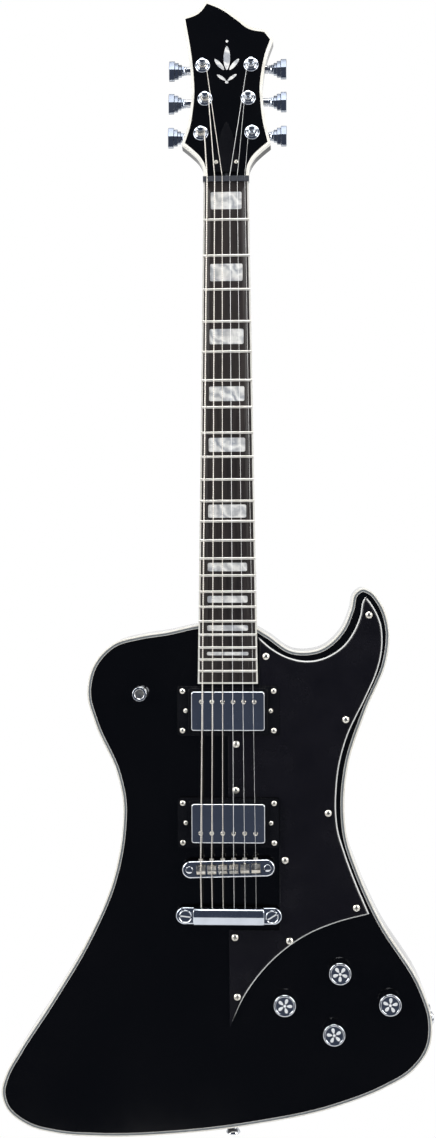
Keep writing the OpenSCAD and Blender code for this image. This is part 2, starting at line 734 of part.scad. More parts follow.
module each_ring_screw() {
    for (z = [neck_pickup_z, bridge_pickup_z])
        for (sx = [-1, 1])
            for (sz = [-1, 1])
                translate([sx * ring_screw_at[0], 0, z + sz * ring_screw_at[1]]) children();
}
module ring_screw_set(z, h) {
    for (sx = [-1, 1])
        for (sz = [-1, 1])
            translate([sx * ring_screw_at[0], top_y - h + 1.6, z + sz * ring_screw_at[1]])
                wood_screw(2.5, 1.3, 1, h - 1.6 + 9);
}
module pickup_ring_screws() {
    color([0.83, 0.8, 0.74]) {
        ring_screw_set(neck_pickup_z, neck_ring_h);
        ring_screw_set(bridge_pickup_z, bridge_ring_h);
    }
}
module height_screw_set(z, h) {
    for (sx = [-1, 1])
        translate([sx * height_screw_x, top_y - h + 1.6, z]) wood_screw(2.1, 1.2, 1.4, h - 1.6 + 16);
}
module pickup_height_screws() {
    color([0.83, 0.8, 0.74]) {
        height_screw_set(neck_pickup_z, neck_ring_h);
        height_screw_set(bridge_pickup_z, bridge_ring_h);
    }
}

// ---- bridge ----
bridge_under = top_y - 5;
bridge_top = top_y - 13.6;
bridge_len = 88;
bridge_w = 16.5;
module on_bridge() {
    translate([0, 0, bridge_z]) rotate([0, -bridge_slant, 0]) children();
}
module stadium(len, w) {
    square([len - w, w], center = true);
    for (s = [-1, 1]) translate([s * (len - w) / 2, 0]) circle(w / 2);
}
saddle_w = 8.2;
bridge_post_r = 3.6;
module bridge() {
    color([0.72, 0.75, 0.8])
        on_bridge()
            difference() {
                plate(bridge_top, bridge_under) stadium(bridge_len, bridge_w);
                for (s = [-1, 1]) front_bar(s * bridge_post_gap / 2, 0, bridge_under + 1, 20, bridge_post_r + fit);
                plate(bridge_top - 1, bridge_top + 6) square([62.6, 10.4], center = true);
                for (i = [0 : 5])
                    translate([string_x(i, bridge_spread), bridge_top + 3, 5])
                        cylinder(h = 5, r = 1.2 + fit);
            }
}
module saddles() {
    color([0.76, 0.76, 0.74])
        for (i = [0 : 5]) {
            p = saddle_point(i);
            dx = string_x(i, bridge_spread);
            difference() {
                on_bridge()
                    translate([dx, 0, 0])
                        intersection() {
                            plate(bridge_top - 8, bridge_top + 5.8) square([saddle_w, 8.4], center = true);
                            across(20) polygon([
                                [bridge_top + 5.8, -4.2], [bridge_top - 0.6, -4.2],
                                [p[1] + gauges[i] / 2 - 0.4, -0.9], [p[1] + gauges[i] / 2 - 0.4, 0.3],
                                [bridge_top - 1.4, 4.2], [bridge_top + 5.8, 4.2]
                            ]);
                        }
                translate([p[0] - gauges[i] / 2 - 0.02, p[1] + gauges[i] / 2 - 8, p[2] - 12])
                    cube([gauges[i] + 0.04, 8, 24]);
                on_bridge() translate([dx, bridge_top + 3, -6]) cylinder(h = 14, r = 1.2 + fit);
            }
        }
}
module intonation_screws() {
    color([0.83, 0.8, 0.74])
        on_bridge()
            for (i = [0 : 5])
                translate([string_x(i, bridge_spread), bridge_top + 3, 0]) {
                    translate([0, 0, -4.6]) cylinder(h = 13, r = 1.2);
                    difference() {
                        translate([0, 0, 8.3]) cylinder(h = 1.6, r = 2.2);
                        translate([0, 0, 9.8]) cube([5, 0.6, 1], center = true);
                    }
                }
}
module bridge_posts() {
    color([0.75, 0.77, 0.8])
        for (s = [-1, 1])
            translate([s * bridge_post_gap / 2, 0, bridge_z + s * bridge_slant_tan * bridge_post_gap / 2]) {
                difference() {
                    front_bar(0, 0, bridge_under, bridge_under - bridge_top + 0.4, bridge_post_r);
                    translate([0, bridge_top - 0.4, 0]) cube([9, 1.6, 1.2], center = true);
                }
                front_bar(0, 0, top_y + 15, 15 + 5, 2.5);
                front_bar(0, 0, bridge_under + 1.8, 1.8, 6.5);
            }
}
module threaded_inserts() {
    color([0.7, 0.66, 0.5]) {
        for (s = [-1, 1]) {
            insert(s * bridge_post_gap / 2, bridge_z + s * bridge_slant_tan * bridge_post_gap / 2, 2.5);
            insert(s * tail_stud_gap / 2, tail_z, 3.5);
        }
    }
}
module insert(x, z, r) {
    difference() {
        front_bar(x, z, top_y + insert_len, insert_len, insert_r);
        front_bar(x, z, top_y + insert_len - 2, 20, r + fit);
    }
}

// ---- tailpiece ----
tail_under = top_y - 4.5;
tail_ear_top = tail_under - 5;
tail_top = top_y - 14.5;
tail_len = 101;
tail_w = 16.5;
tail_bar_half = 33.6;
// Section of the raised bar, [y, z]: flat back, long lower bevel, flat front, short upper bevel
tail_profile = [
    [tail_under, -6], [tail_under - 1, -8.25], [tail_under - 3.5, -8.25], [tail_top + 2.2, -6.6],
    [tail_top + 0.3, -2.2], [tail_top, -1], [tail_top, 5], [tail_top + 0.4, 6], [tail_top + 3, 7.8],
    [tail_top + 5, 8.25], [tail_under - 1, 8.25], [tail_under, 6]
];
module tailpiece() {
    color([0.72, 0.75, 0.8])
        difference() {
            union() {
                translate([0, 0, tail_z]) plate(tail_ear_top, tail_under) stadium(tail_len, tail_w);
                translate([0, 0, tail_z]) across(2 * tail_bar_half) polygon(tail_profile);
            }
            for (i = [0 : 5])
                translate([string_x(i, bridge_spread), top_y - 9.5, tail_z - 12]) cylinder(h = 24, r = 1.7);
            for (s = [-1, 1]) front_bar(s * tail_stud_gap / 2, tail_z, top_y, 20, 3.5 + fit);
        }
}
module tailpiece_studs() {
    color([0.75, 0.77, 0.8])
        for (s = [-1, 1])
            translate([s * tail_stud_gap / 2, 0, tail_z])
                difference() {
                    union() {
                        front_bar(0, 0, top_y + 15, 15 - tail_ear_top + top_y, 3.5);
                        front_bar(0, 0, tail_ear_top, 3, 6.35);
                        front_bar(0, 0, tail_under + 2.5, 2.5, 6);
                    }
                    translate([0, tail_ear_top - 3, 0]) cube([14, 3, 1.6], center = true);
                }
}

// ---- pickguard ----
module pickguard() {
    color([0.09, 0.09, 0.11])
        difference() {
            plate(top_y - guard_t, top_y) polygon(guard_outline);
            for (p = guard_screws) front_bar(p[0], p[1], top_y + 1, 10, 1.6);
        }
}
module pickguard_screws() {
    color([0.83, 0.8, 0.74])
        for (p = guard_screws)
            translate([p[0], top_y - guard_t, p[1]]) wood_screw(3.2, 1.7, 1.3, guard_t + 9);
}

// ---- controls ----
pot_bush_r = 4.7;
knob_gap = 1;
module knob(k) {
    p = knob_at[k];
    color([0.75, 0.77, 0.82])
        translate([p[0], top_y, p[1]]) {
            difference() {
                front_bar(0, 0, -knob_gap, knob_h - knob_gap, knob_d / 2);
                front_bar(0, 0, 0, 5.5, knob_d / 2 - 2);
                front_bar(0, 0, -knob_h + 0.5, 1, knob_d / 2 - 1.6);
                front_bar(0, 0, 0, 14, 3 + fit);
            }
            front_bar(0, 0, 12, 26, 3);
        }
}
module pots() {
    color([0.72, 0.7, 0.62])
        for (p = knob_at)
            translate([p[0], 0, p[1]])
                difference() {
                    union() {
                        front_bar(0, 0, cavity_floor + 10, 10, 12);
                        front_bar(0, 0, cavity_floor, 10, pot_bush_r);
                        front_bar(0, 0, top_y, 2.4, 6.6);
                    }
                    front_bar(0, 0, cavity_floor + 8.4, 24, 3 + fit);
                }
}
cover_screw_ring = cavity_r + [cover_ledge / 2, cover_ledge / 2];
module each_cover_screw() {
    for (q = ellipse(cavity_c, cover_screw_ring, 6)) translate([q[0], 0, q[1]]) children();
}
module control_cover() {
    color([0.05, 0.05, 0.05])
        difference() {
            plate(back_y - cover_t, back_y)
                polygon(ellipse(cavity_c, cavity_r + [cover_ledge - 0.2, cover_ledge - 0.2], 64));
            each_cover_screw() {
                front_bar(0, 0, back_y + 1, 5, 1.3 + fit);
                translate([0, back_y + eps, 0]) rotate([90, 0, 0]) cylinder(h = 1.5, r1 = 2.8, r2 = 1.3 + fit);
            }
        }
}
module control_cover_screws() {
    color([0.1, 0.1, 0.1])
        each_cover_screw() {
            front_bar(0, 0, back_y - 1.4, 11, 1.3);
            translate([0, back_y, 0]) rotate([90, 0, 0]) cylinder(h = 1.4, r1 = 2.7, r2 = 1.3);
        }
}
jack_face_x = 190.2;
jack_plate_r = 14;
module jack_plate() {
    color([0.75, 0.77, 0.8])
        translate([jack_face_x, mid_y, jack_z])
            difference() {
                rotate([0, 90, 0]) cylinder(h = 1.8, r = jack_plate_r - 0.1);
                translate([-1, 0, 0]) rotate([0, 90, 0]) cylinder(h = 5, r = 4.8);
            }
}
module output_jack() {
    color([0.75, 0.77, 0.8])
        translate([0, mid_y, jack_z])
            difference() {
                union() {
                    translate([jack_face_x - 24, 0, 0]) rotate([0, 90, 0]) cylinder(h = 24, r = 8);
                    translate([jack_face_x - 0.5, 0, 0]) rotate([0, 90, 0]) cylinder(h = 5.8, r = 4.7);
                    translate([jack_face_x + 1.8, 0, 0]) rotate([0, 90, 0]) cylinder(h = 2.2, r = 6.8);
                }
                translate([jack_face_x - 22, 0, 0]) rotate([0, 90, 0]) cylinder(h = 40, r = jack_bore_r);
            }
}

// ---- strap buttons ----
// Button profile turned around its axis, with its base at the origin and its cap along -Y
module strap_button() {
    rotate([90, 0, 0])
        difference() {
            rotate_extrude()
                polygon([[0, 0], [6.8, 0], [6.4, 1.6], [4.2, 4], [4.2, 7.5], [6.4, 10.5], [7, 12.2], [6.4, 13], [0, 13]]);
            translate([0, 0, -1]) cylinder(h = 20, r = 2 + fit);
            translate([0, 0, 10]) cylinder(h = 4, r1 = 2.6, r2 = 5.4);
        }
}
module strap_buttons() {
    color([0.72, 0.74, 0.78]) {
        translate([front_strap[0], top_y, front_strap[1]]) strap_button();
        translate([bottom_strap[0], mid_y, bottom_strap[1] + strap_seat_depth]) rotate([90, 0, 0]) strap_button();
    }
}
module strap_screw() {
    rotate([-90, 0, 0]) translate([0, 0, -10]) cylinder(h = 31, r = 2);
    rotate([90, 0, 0]) translate([0, 0, 9.9]) cylinder(h = 2.3, r1 = 2, r2 = 3.8);
}
module strap_screws() {
    color([0.6, 0.6, 0.6]) {
        translate([front_strap[0], top_y, front_strap[1]]) strap_screw();
        translate([bottom_strap[0], mid_y, bottom_strap[1] + strap_seat_depth]) rotate([90, 0, 0]) strap_screw();
    }
}

body();
body_binding();
body_purfling();
neck();
truss_rod();
fingerboard();
fingerboard_binding();
inlays();
frets();
nut();
headstock_veneer();
headstock_binding();
truss_rod_cover();
headstock_screws();
tuner_post(0);  // tuner_post_1
tuner_post(1);  // tuner_post_2
tuner_post(2);  // tuner_post_3
tuner_post(3);  // tuner_post_4
tuner_post(4);  // tuner_post_5
tuner_post(5);  // tuner_post_6
tuner_button(0);  // tuner_button_1
tuner_button(1);  // tuner_button_2
tuner_button(2);  // tuner_button_3
tuner_button(3);  // tuner_button_4
tuner_button(4);  // tuner_button_5
tuner_button(5);  // tuner_button_6
tuner_housings();
tuner_bushings();
wound_strings();
plain_strings();
neck_pickup_ring();
bridge_pickup_ring();
neck_pickup_cover();
bridge_pickup_cover();
neck_pickup_poles();
bridge_pickup_poles();
neck_pickup_coils();
bridge_pickup_coils();
pickup_ring_screws();
pickup_height_screws();
bridge();
saddles();
intonation_screws();
bridge_posts();
tailpiece();
tailpiece_studs();
threaded_inserts();
pickguard();
pickguard_screws();
knob(0);  // knob_1
knob(1);  // knob_2
knob(2);  // knob_3
knob(3);  // knob_4
pots();
control_cover();
control_cover_screws();
output_jack();
jack_plate();
strap_buttons();
strap_screws();
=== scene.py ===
import math

import bmesh
import bpy
from mathutils import Matrix, Vector


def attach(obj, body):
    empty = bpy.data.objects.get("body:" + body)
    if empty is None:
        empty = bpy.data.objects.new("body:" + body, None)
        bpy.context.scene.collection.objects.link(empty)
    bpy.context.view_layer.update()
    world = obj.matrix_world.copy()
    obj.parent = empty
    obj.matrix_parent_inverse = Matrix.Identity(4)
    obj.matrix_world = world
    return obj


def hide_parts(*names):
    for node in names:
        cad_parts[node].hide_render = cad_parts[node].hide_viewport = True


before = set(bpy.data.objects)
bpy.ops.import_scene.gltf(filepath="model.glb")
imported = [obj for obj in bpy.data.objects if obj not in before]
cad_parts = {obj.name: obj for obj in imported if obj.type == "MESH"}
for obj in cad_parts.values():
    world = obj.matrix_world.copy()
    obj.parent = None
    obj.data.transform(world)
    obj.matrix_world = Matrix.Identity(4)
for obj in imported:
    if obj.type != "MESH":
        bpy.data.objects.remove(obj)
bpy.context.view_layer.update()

# ---- sizes, in millimetres, as in the part's source ----
MM = 0.001
SCALE_LEN, NUT_W, BOARD_END_W, BOARD_LEN, BOARD_R = 647.7, 43.0, 57.0, 478.0, 380.0
NECK_ANGLE, HEAD_ANGLE, HEAD_T = 2.0, 11.5, 14.0
TOP_Y, BODY_T = -10.4, 43.0
BACK_Y = TOP_Y + BODY_T
MID_Y = TOP_Y + BODY_T / 2
GUARD_T = 2.5
NECK_PICKUP_Z, BRIDGE_PICKUP_Z = -503.6, -609.8
BRIDGE_Z, BRIDGE_SLANT, TAIL_Z = -652.3, 1.78, -698.0
NUT_SPREAD, BRIDGE_SPREAD, BRIDGE_ACTION = 36.0, 52.0, 4.6
KNOBS = [(52.7, -780.2), (104.8, -749.6), (99.0, -807.5), (151.6, -778.6)]
KNOB_R = 10.5
GUARD_TIP_Z = -806  # lowest point of the pickguard
TIP_FADE = 34  # length over which its bevel runs out
TUNER_S, TUNER_X = [46.0, 82.5, 118.0], [24.6, 20.9, 23.6]
GAUGES = [1.17, 0.91, 0.66, 0.43, 0.33, 0.25]
GUARD_SCREWS = [(133.7, -413), (36.2, -452), (111.5, -512), (94.6, -601), (7.5, -535.5), (7, -579.5),
                (53.5, -646), (121, -691), (57.5, -723), (5.5, -720), (7.5, -777)]
CAVITY_C, CAVITY_R, COVER_LEDGE, COVER_T = (102.0, -779.0), (72.0, 50.0), 6.0, 2.0
CAMERA_AT = (0.06186, -1.4265, -0.3443)  # in metres
JACK_FACE_X, JACK_Z, JACK_PLATE_R = 190.2, -803.0, 14.0
FRETS_N = 22

BODY_POINTS = [
    (-32, -422.5), (-57, -428), (-83, -432), (-110, -440), (-129, -460.5), (-135, -488),
    (-128, -515.5), (-107, -564), (-101.5, -590), (-102, -616), (-112, -668), (-133, -717.5),
    (-174, -787), (-204, -833), (-217, -857), (-220.5, -871), (-217, -886), (-195, -904.5),
    (-168, -911.5), (-127, -914), (-52.5, -910.5), (20, -901), (99.5, -883), (149, -863),
    (173, -848), (189.5, -825), (192, -797), (184, -770.5), (143, -702), (122, -654.5),
    (113, -627), (110, -592), (114.3, -553.5), (131, -503.5), (151, -454), (153, -426),
    (144.5, -400.5), (136, -390.5), (127.5, -387.5), (120.5, -392), (116, -408), (107, -428),
    (88, -444.5), (62, -446.5), (37, -430.5), (15, -419)]
GUARD_TOP = [(29.3, -434), (43, -445.5), (56, -452.5), (69, -456), (82, -456), (97, -451),
             (110, -441.5), (119.5, -428), (125.5, -413), (128, -400), (130.5, -395.5)]
GUARD_SIDE = [(130.5, -395.5), (135, -401), (140.5, -410), (144.5, -420), (146.4, -435), (145, -452),
              (140, -470), (131.5, -489), (111.5, -532), (105, -557), (102.5, -579), (102, -598),
              (104, -618), (109.5, -637), (118, -661), (133, -697)]
GUARD_ARC = [(133, -697), (102, -705.5), (73, -718), (44.5, -739), (14, -777), (0.3, -806)]
RING_HALF = (48.0, 23.3)


# ---- curves ----
def heading(a, b, c):
    u, v = (b - a).length, (c - b).length
    return ((b - a) * v / u + (c - b) * u / v) / (u + v)


def span(p, q, m, n, t):
    d = (q - p).length
    return ((2 * t**3 - 3 * t * t + 1) * p + (t**3 - 2 * t * t + t) * d * m
            + (3 * t * t - 2 * t**3) * q + (t**3 - t * t) * d * n)


def loop_curve(points, steps):
    p = [Vector(v) for v in points]
    n = len(p)
    out = []
    for i in range(n):
        a, b, c, d = p[i - 1], p[i], p[(i + 1) % n], p[(i + 2) % n]
        out += [span(b, c, heading(a, b, c), heading(b, c, d), j / steps) for j in range(steps)]
    return out


def open_curve(points, steps):
    p = [Vector(v) for v in points]
    n = len(p)
    out = []
    for i in range(n - 1):
        b, c = p[i], p[i + 1]
        m = (c - b).normalized() if i == 0 else heading(p[i - 1], b, c)
        h = (c - b).normalized() if i == n - 2 else heading(b, c, p[i + 2])
        out += [span(b, c, m, h, j / steps) for j in range(steps)]
    return out


def inset(p, d):
    n = len(p)
    area = sum(p[i].x * p[(i + 1) % n].y - p[i].y * p[(i + 1) % n].x for i in range(n))
    s = 1 if area > 0 else -1
    out = []
    for i in range(n):
        u, v = (p[i] - p[i - 1]).normalized(), (p[(i + 1) % n] - p[i]).normalized()
        a, b = s * Vector((-u.y, u.x)), s * Vector((-v.y, v.x))
        out.append(p[i] + d * (a + b) / (1 + a.dot(b)))
    return out


def ellipse(c, r, n):
    return [Vector((c[0] + r[0] * math.cos(2 * math.pi * i / n), c[1] + r[1] * math.sin(2 * math.pi * i / n)))
            for i in range(n)]


def board_half(z):
    return (NUT_W + (BOARD_END_W - NUT_W) * -z / BOARD_LEN) / 2


def board_sag(x):
    return BOARD_R - math.sqrt(BOARD_R**2 - x * x)


def fret_z(n):
    return -SCALE_LEN * (1 - 2 ** (-n / 12))


# ---- places ----
ON_NECK = Matrix.Rotation(math.radians(-NECK_ANGLE), 4, "X")
ON_HEAD = Matrix.Translation((0, 3, 5)) @ Matrix.Rotation(math.radians(-NECK_ANGLE - HEAD_ANGLE), 4, "X")


def string_x(i, spread):
    return spread * (i / 5 - 0.5)


def tuner_side(i):
    return -1 if i < 3 else 1


def tuner_place(i):
    rank = i if i < 3 else 5 - i
    return tuner_side(i) * TUNER_X[rank], TUNER_S[rank]


# ---- materials ----
class Finish:
    """A material's node tree with short helpers for its patterns."""

    def __init__(self, name, base, rough, metal=0.0, **sockets):
        self.mat = bpy.data.materials.new(name)
        self.mat.use_nodes = True
        self.tree = self.mat.node_tree
        self.shader = self.tree.nodes["Principled BSDF"]
        self.set("Base Color", (*base, 1))
        self.set("Roughness", rough)
        self.set("Metallic", metal)
        for key, value in sockets.items():
            self.set(key.replace("_", " "), value)
        self.coord = self.node("ShaderNodeTexCoord").outputs["Object"]

    def set(self, socket, value):
        self.shader.inputs[socket].default_value = value

    def node(self, kind, **values):
        n = self.tree.nodes.new(kind)
        for key, value in values.items():
            if key in n.inputs:
                n.inputs[key].default_value = value
            else:
                setattr(n, key, value)
        return n

    def link(self, a, b):
        self.tree.links.new(a, b)

    def mapped(self, scale=(1, 1, 1), turn=(0, 0, 0), source=None):
        m = self.node("ShaderNodeMapping")
        m.inputs["Scale"].default_value = scale
        m.inputs["Rotation"].default_value = turn
        self.link(source or self.coord, m.inputs["Vector"])
        return m.outputs["Vector"]

    def noise(self, scale, detail=4.0, rough=0.5, vector=None, distortion=0.0):
        n = self.node("ShaderNodeTexNoise")
        n.inputs["Scale"].default_value = scale
        n.inputs["Detail"].default_value = detail
        n.inputs["Roughness"].default_value = rough
        n.inputs["Distortion"].default_value = distortion
        self.link(vector or self.coord, n.inputs["Vector"])
        return n.outputs["Fac"]

    def ramp(self, fac, stops):
        r = self.node("ShaderNodeValToRGB")
        while len(r.color_ramp.elements) < len(stops):
            r.color_ramp.elements.new(0.5)
        for e, (pos, col) in zip(r.color_ramp.elements, stops):
            e.position = pos
            e.color = (*col, 1) if isinstance(col, tuple) else (col, col, col, 1)
        self.link(fac, r.inputs["Fac"])
        return r.outputs["Color"]

    def spread(self, fac, lo, hi, from_lo=0.3, from_hi=0.7):
        m = self.node("ShaderNodeMapRange")
        m.inputs["From Min"].default_value = from_lo
        m.inputs["From Max"].default_value = from_hi
        m.inputs["To Min"].default_value = lo
        m.inputs["To Max"].default_value = hi
        self.link(fac, m.inputs["Value"])
        return m.outputs["Result"]

    def mix(self, fac, a, b):
        m = self.node("ShaderNodeMix", data_type="RGBA")
        for s, v in ((m.inputs[0], fac), (m.inputs[6], a), (m.inputs[7], b)):
            if isinstance(v, (tuple, float)):
                s.default_value = (*v, 1) if isinstance(v, tuple) else v
            else:
                self.link(v, s)
        return m.outputs[2]

    def colour(self, socket):
        self.link(socket, self.shader.inputs["Base Color"])
        return self

    def roughness(self, socket):
        self.link(socket, self.shader.inputs["Roughness"])
        return self

    def bump(self, height, strength, distance=0.0002):
        b = self.node("ShaderNodeBump")
        b.inputs["Strength"].default_value = strength
        b.inputs["Distance"].default_value = distance
        self.link(height, b.inputs["Height"])
        self.link(b.outputs["Normal"], self.shader.inputs["Normal"])
        return self


def gloss_lacquer(name, base, warm):
    """Polished lacquer over grain-filled wood: faint orange peel and dust haze."""
    f = Finish(name, base, 0.06, Coat_Weight=0.35, Coat_Roughness=0.03, Specular_IOR_Level=0.34)
    haze = f.noise(9, 5, 0.6)
    f.roughness(f.spread(haze, 0.045, 0.13, 0.35, 0.7))
    f.colour(f.mix(f.spread(haze, 0.0, 1.0), base, warm))
    peel = f.noise(160, 2, 0.5)
    return f.bump(peel, 0.06, 0.0001).mat


def binding_plastic(name, base, aged):
    f = Finish(name, base, 0.22, Coat_Weight=0.4, Coat_Roughness=0.08, Subsurface_Weight=0.0)
    clouds = f.noise(28, 4, 0.6)
    f.colour(f.mix(f.spread(clouds, 0, 1), base, aged))
    f.roughness(f.spread(f.noise(120, 3), 0.16, 0.32))
    return f.bump(f.noise(600, 2), 0.05, 0.0001).mat


def plated(name, base, tint, rough_lo, rough_hi, scale=60, brushed=(1, 1, 1), metal=1.0):
    """Plated metal with faint wear clouds and hairlines."""
    f = Finish(name, base, rough_lo, metal)
    wear = f.noise(scale, 5, 0.65)
    f.colour(f.mix(f.spread(wear, 0, 1, 0.4, 0.75), base, tint))
    hair = f.noise(3200, 2, 0.5, f.mapped(brushed))
    f.roughness(f.spread(f.noise(scale * 0.7, 3), rough_lo, rough_hi))
    return f.bump(hair, 0.012, 0.00003).mat


def moulded_plastic(name, base, light, rough=0.3):
    f = Finish(name, base, rough, Specular_IOR_Level=0.45)
    f.colour(f.mix(f.spread(f.noise(45, 5, 0.6), 0, 1), base, light))
    f.roughness(f.spread(f.noise(38, 4), rough * 0.85, rough * 1.2))
    return f.bump(f.noise(2600, 2), 0.03, 0.00003).mat


def oiled_board(name):
    """Dark oiled fingerboard wood: long fine grain, pores and darker streaks."""
    f = Finish(name, (0.012, 0.010, 0.0105), 0.42, Specular_IOR_Level=0.35)
    long_grain = f.noise(260, 6, 0.62, f.mapped((1.0, 1.0, 0.035)), 0.4)
    streak = f.noise(42, 4, 0.6, f.mapped((1.0, 1.0, 0.06)))
    pores = f.noise(900, 2, 0.5, f.mapped((1.0, 1.0, 0.10)))
    tone = f.mix(f.spread(streak, 0, 1, 0.35, 0.68), (0.0105, 0.0085, 0.0088), (0.026, 0.021, 0.0195))
    tone = f.mix(f.spread(long_grain, 0, 0.75, 0.4, 0.75), tone, (0.034, 0.027, 0.024))
    f.colour(f.mix(f.spread(pores, 0, 0.8, 0.62, 0.74), tone, (0.005, 0.004, 0.004)))
    f.roughness(f.spread(long_grain, 0.34, 0.56))
    return f.bump(pores, 0.22, 0.0002).mat


def pearl(name):
    """Swirled pearloid: soft curls of light and shade with a cool and a warm cast."""
    f = Finish(name, (0.55, 0.56, 0.57), 0.2, Coat_Weight=0.5, Coat_Roughness=0.06)
    warp = f.noise(48, 3, 0.6)
    curls = f.node("ShaderNodeTexWave", wave_type="BANDS", bands_direction="DIAGONAL")
    curls.inputs["Scale"].default_value = 36
    curls.inputs["Distortion"].default_value = 11
    curls.inputs["Detail"].default_value = 3
    curls.inputs["Detail Scale"].default_value = 1.6
    f.link(f.coord, curls.inputs["Vector"])
    base = f.ramp(curls.outputs["Fac"], [
        (0.0, (0.30, 0.32, 0.35)), (0.45, (0.52, 0.53, 0.54)), (1.0, (0.74, 0.74, 0.72))])
    f.colour(f.mix(f.spread(warp, 0, 0.6), base, (0.62, 0.60, 0.56)))
    f.roughness(f.spread(curls.outputs["Fac"], 0.14, 0.3, 0, 1))
    return f.bump(curls.outputs["Fac"], 0.04, 0.0001).mat


def wound_wire(name, base, dark, pitch):
    """Wrapped string: rings of wire across the string's length."""
    f = Finish(name, base, 0.36, 0.85)
    uv = f.node("ShaderNodeTexCoord").outputs["UV"]
    rings = f.node("ShaderNodeTexWave", wave_type="BANDS", bands_direction="Y", wave_profile="SIN")
    rings.inputs["Scale"].default_value = 1 / pitch
    f.link(uv, rings.inputs["Vector"])
    f.colour(f.mix(f.spread(rings.outputs["Fac"], 0, 1, 0, 1), dark, base))
    f.roughness(f.spread(f.noise(200, 3), 0.3, 0.45))
    return f.bump(rings.outputs["Fac"], 0.5, 0.0001).mat


LACQUER = gloss_lacquer("black_gloss_lacquer", (0.0009, 0.0009, 0.0011), (0.0016, 0.0015, 0.0018))
NECK_LACQUER = gloss_lacquer("neck_gloss_lacquer", (0.0011, 0.001, 0.0011), (0.0021, 0.0018, 0.0018))
VENEER = gloss_lacquer("headstock_gloss_face", (0.0009, 0.0009, 0.0012), (0.0015, 0.0015, 0.0018))
CREAM = binding_plastic("cream_binding_plastic", (0.80, 0.785, 0.73), (0.71, 0.68, 0.60))
WHITE_SIDE = binding_plastic("white_side_plastic", (0.74, 0.73, 0.69), (0.64, 0.62, 0.56))
GREY_LINE = moulded_plastic("grey_line_plastic", (0.13, 0.145, 0.155), (0.20, 0.215, 0.225), 0.28)
DARK_LINE = moulded_plastic("dark_line_plastic", (0.008, 0.008, 0.009), (0.014, 0.014, 0.015), 0.28)
BOARD_WOOD = oiled_board("oiled_fingerboard_wood")
PEARL = pearl("swirled_pearl")
FRET_METAL = plated("fret_nickel_silver", (0.86, 0.84, 0.79), (0.74, 0.71, 0.64), 0.34, 0.46, 90, (1, 8, 8),
                    metal=0.8)
SCREW_METAL = plated("nickel_screw", (0.74, 0.71, 0.64), (0.50, 0.47, 0.41), 0.2, 0.38, 120)
CHROME = plated("polished_chrome", (0.72, 0.74, 0.77), (0.62, 0.64, 0.68), 0.045, 0.11, 50)
SADDLE_METAL = plated("nickel_saddle", (0.68, 0.66, 0.60), (0.42, 0.36, 0.28), 0.2, 0.42, 160)
SOFT_CHROME = plated("soft_chrome", (0.60, 0.64, 0.70), (0.50, 0.53, 0.59), 0.10, 0.2, 60)
# darker copy of the button chrome for the buttons' upper faces: painted shade for how light falls on them
PAINTED_SHADE_CHROME = plated("shaded_chrome", (0.15, 0.17, 0.21), (0.12, 0.135, 0.165), 0.2, 0.3, 60)
# frosted metal for the knobs' engraved rosettes, and for the bars in the tailpiece studs' slots, which are a painted
# highlight
ENGRAVING_AND_GLINT = plated("frosted_engraving", (0.82, 0.83, 0.84), (0.7, 0.71, 0.72), 0.5, 0.62, 90, metal=0.35)
BRASS = plated("aged_brass", (0.62, 0.53, 0.34), (0.45, 0.37, 0.22), 0.25, 0.45, 80)
STEEL = plated("plain_steel", (0.92, 0.92, 0.91), (0.8, 0.79, 0.77), 0.36, 0.48, 200, metal=0.75)
WOUND = wound_wire("wrapped_nickel_wire", (0.92, 0.88, 0.81), (0.58, 0.54, 0.48), 0.0055)
RING_PLASTIC = moulded_plastic("black_ring_plastic", (0.0028, 0.0028, 0.0035), (0.005, 0.005, 0.006), 0.16)
GUARD_BLACK = moulded_plastic("black_guard_plastic", (0.0034, 0.0031, 0.0048), (0.0055, 0.005, 0.0072), 0.24)
GUARD_WHITE = moulded_plastic("white_guard_core", (0.70, 0.70, 0.68), (0.62, 0.62, 0.6), 0.3)
COIL_PLASTIC = moulded_plastic("black_coil_plastic", (0.012, 0.012, 0.013), (0.02, 0.02, 0.021), 0.4)
NUT_BONE = moulded_plastic("graphite_nut", (0.035, 0.038, 0.045), (0.06, 0.064, 0.075), 0.3)
COVER_PLASTIC = moulded_plastic("black_cover_plastic", (0.009, 0.009, 0.0095), (0.015, 0.015, 0.016), 0.38)
BLACK_SCREW = plated("blackened_screw", (0.05, 0.05, 0.052), (0.12, 0.115, 0.11), 0.3, 0.5, 150)


# ---- mesh helpers ----
def piece(name, verts, faces, mats, body="guitar", place=None, slot=None, stands_for=(), face_mats=None,
          smooth=35.0, uvs=None):
    """A finished piece from points in millimetres, already in its place."""
    mesh = bpy.data.meshes.new(name)
    place = place or Matrix.Identity(4)
    mesh.from_pydata([(place @ Vector(v)) * MM for v in verts], [], faces)
    for m in mats if isinstance(mats, (list, tuple)) else [mats]:
        mesh.materials.append(m)
    if face_mats:
        mesh.polygons.foreach_set("material_index", face_mats)
    if uvs:
        layer = mesh.uv_layers.new(name="UVMap")
        for poly in mesh.polygons:
            for li in poly.loop_indices:
                layer.data[li].uv = uvs[poly.index][li - poly.loop_start]
    bm = bmesh.new()
    bm.from_mesh(mesh)
    bmesh.ops.recalc_face_normals(bm, faces=bm.faces)
    bm.to_mesh(mesh)
    bm.free()
    mesh.polygons.foreach_set("use_smooth", [True] * len(mesh.polygons))
    mesh.set_sharp_from_angle(angle=math.radians(smooth))
    o = bpy.data.objects.new(name, mesh)
    bpy.context.scene.collection.objects.link(o)
    return settle(o, body, stands_for)


def settle(o, body, stands_for=()):
    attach(o, body)
    if stands_for:
        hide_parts(*stands_for)
    return o


def evaluated_mesh(o):
    dg = bpy.context.evaluated_depsgraph_get()
    dg.update()
    return bpy.data.meshes.new_from_object(o.evaluated_get(dg))


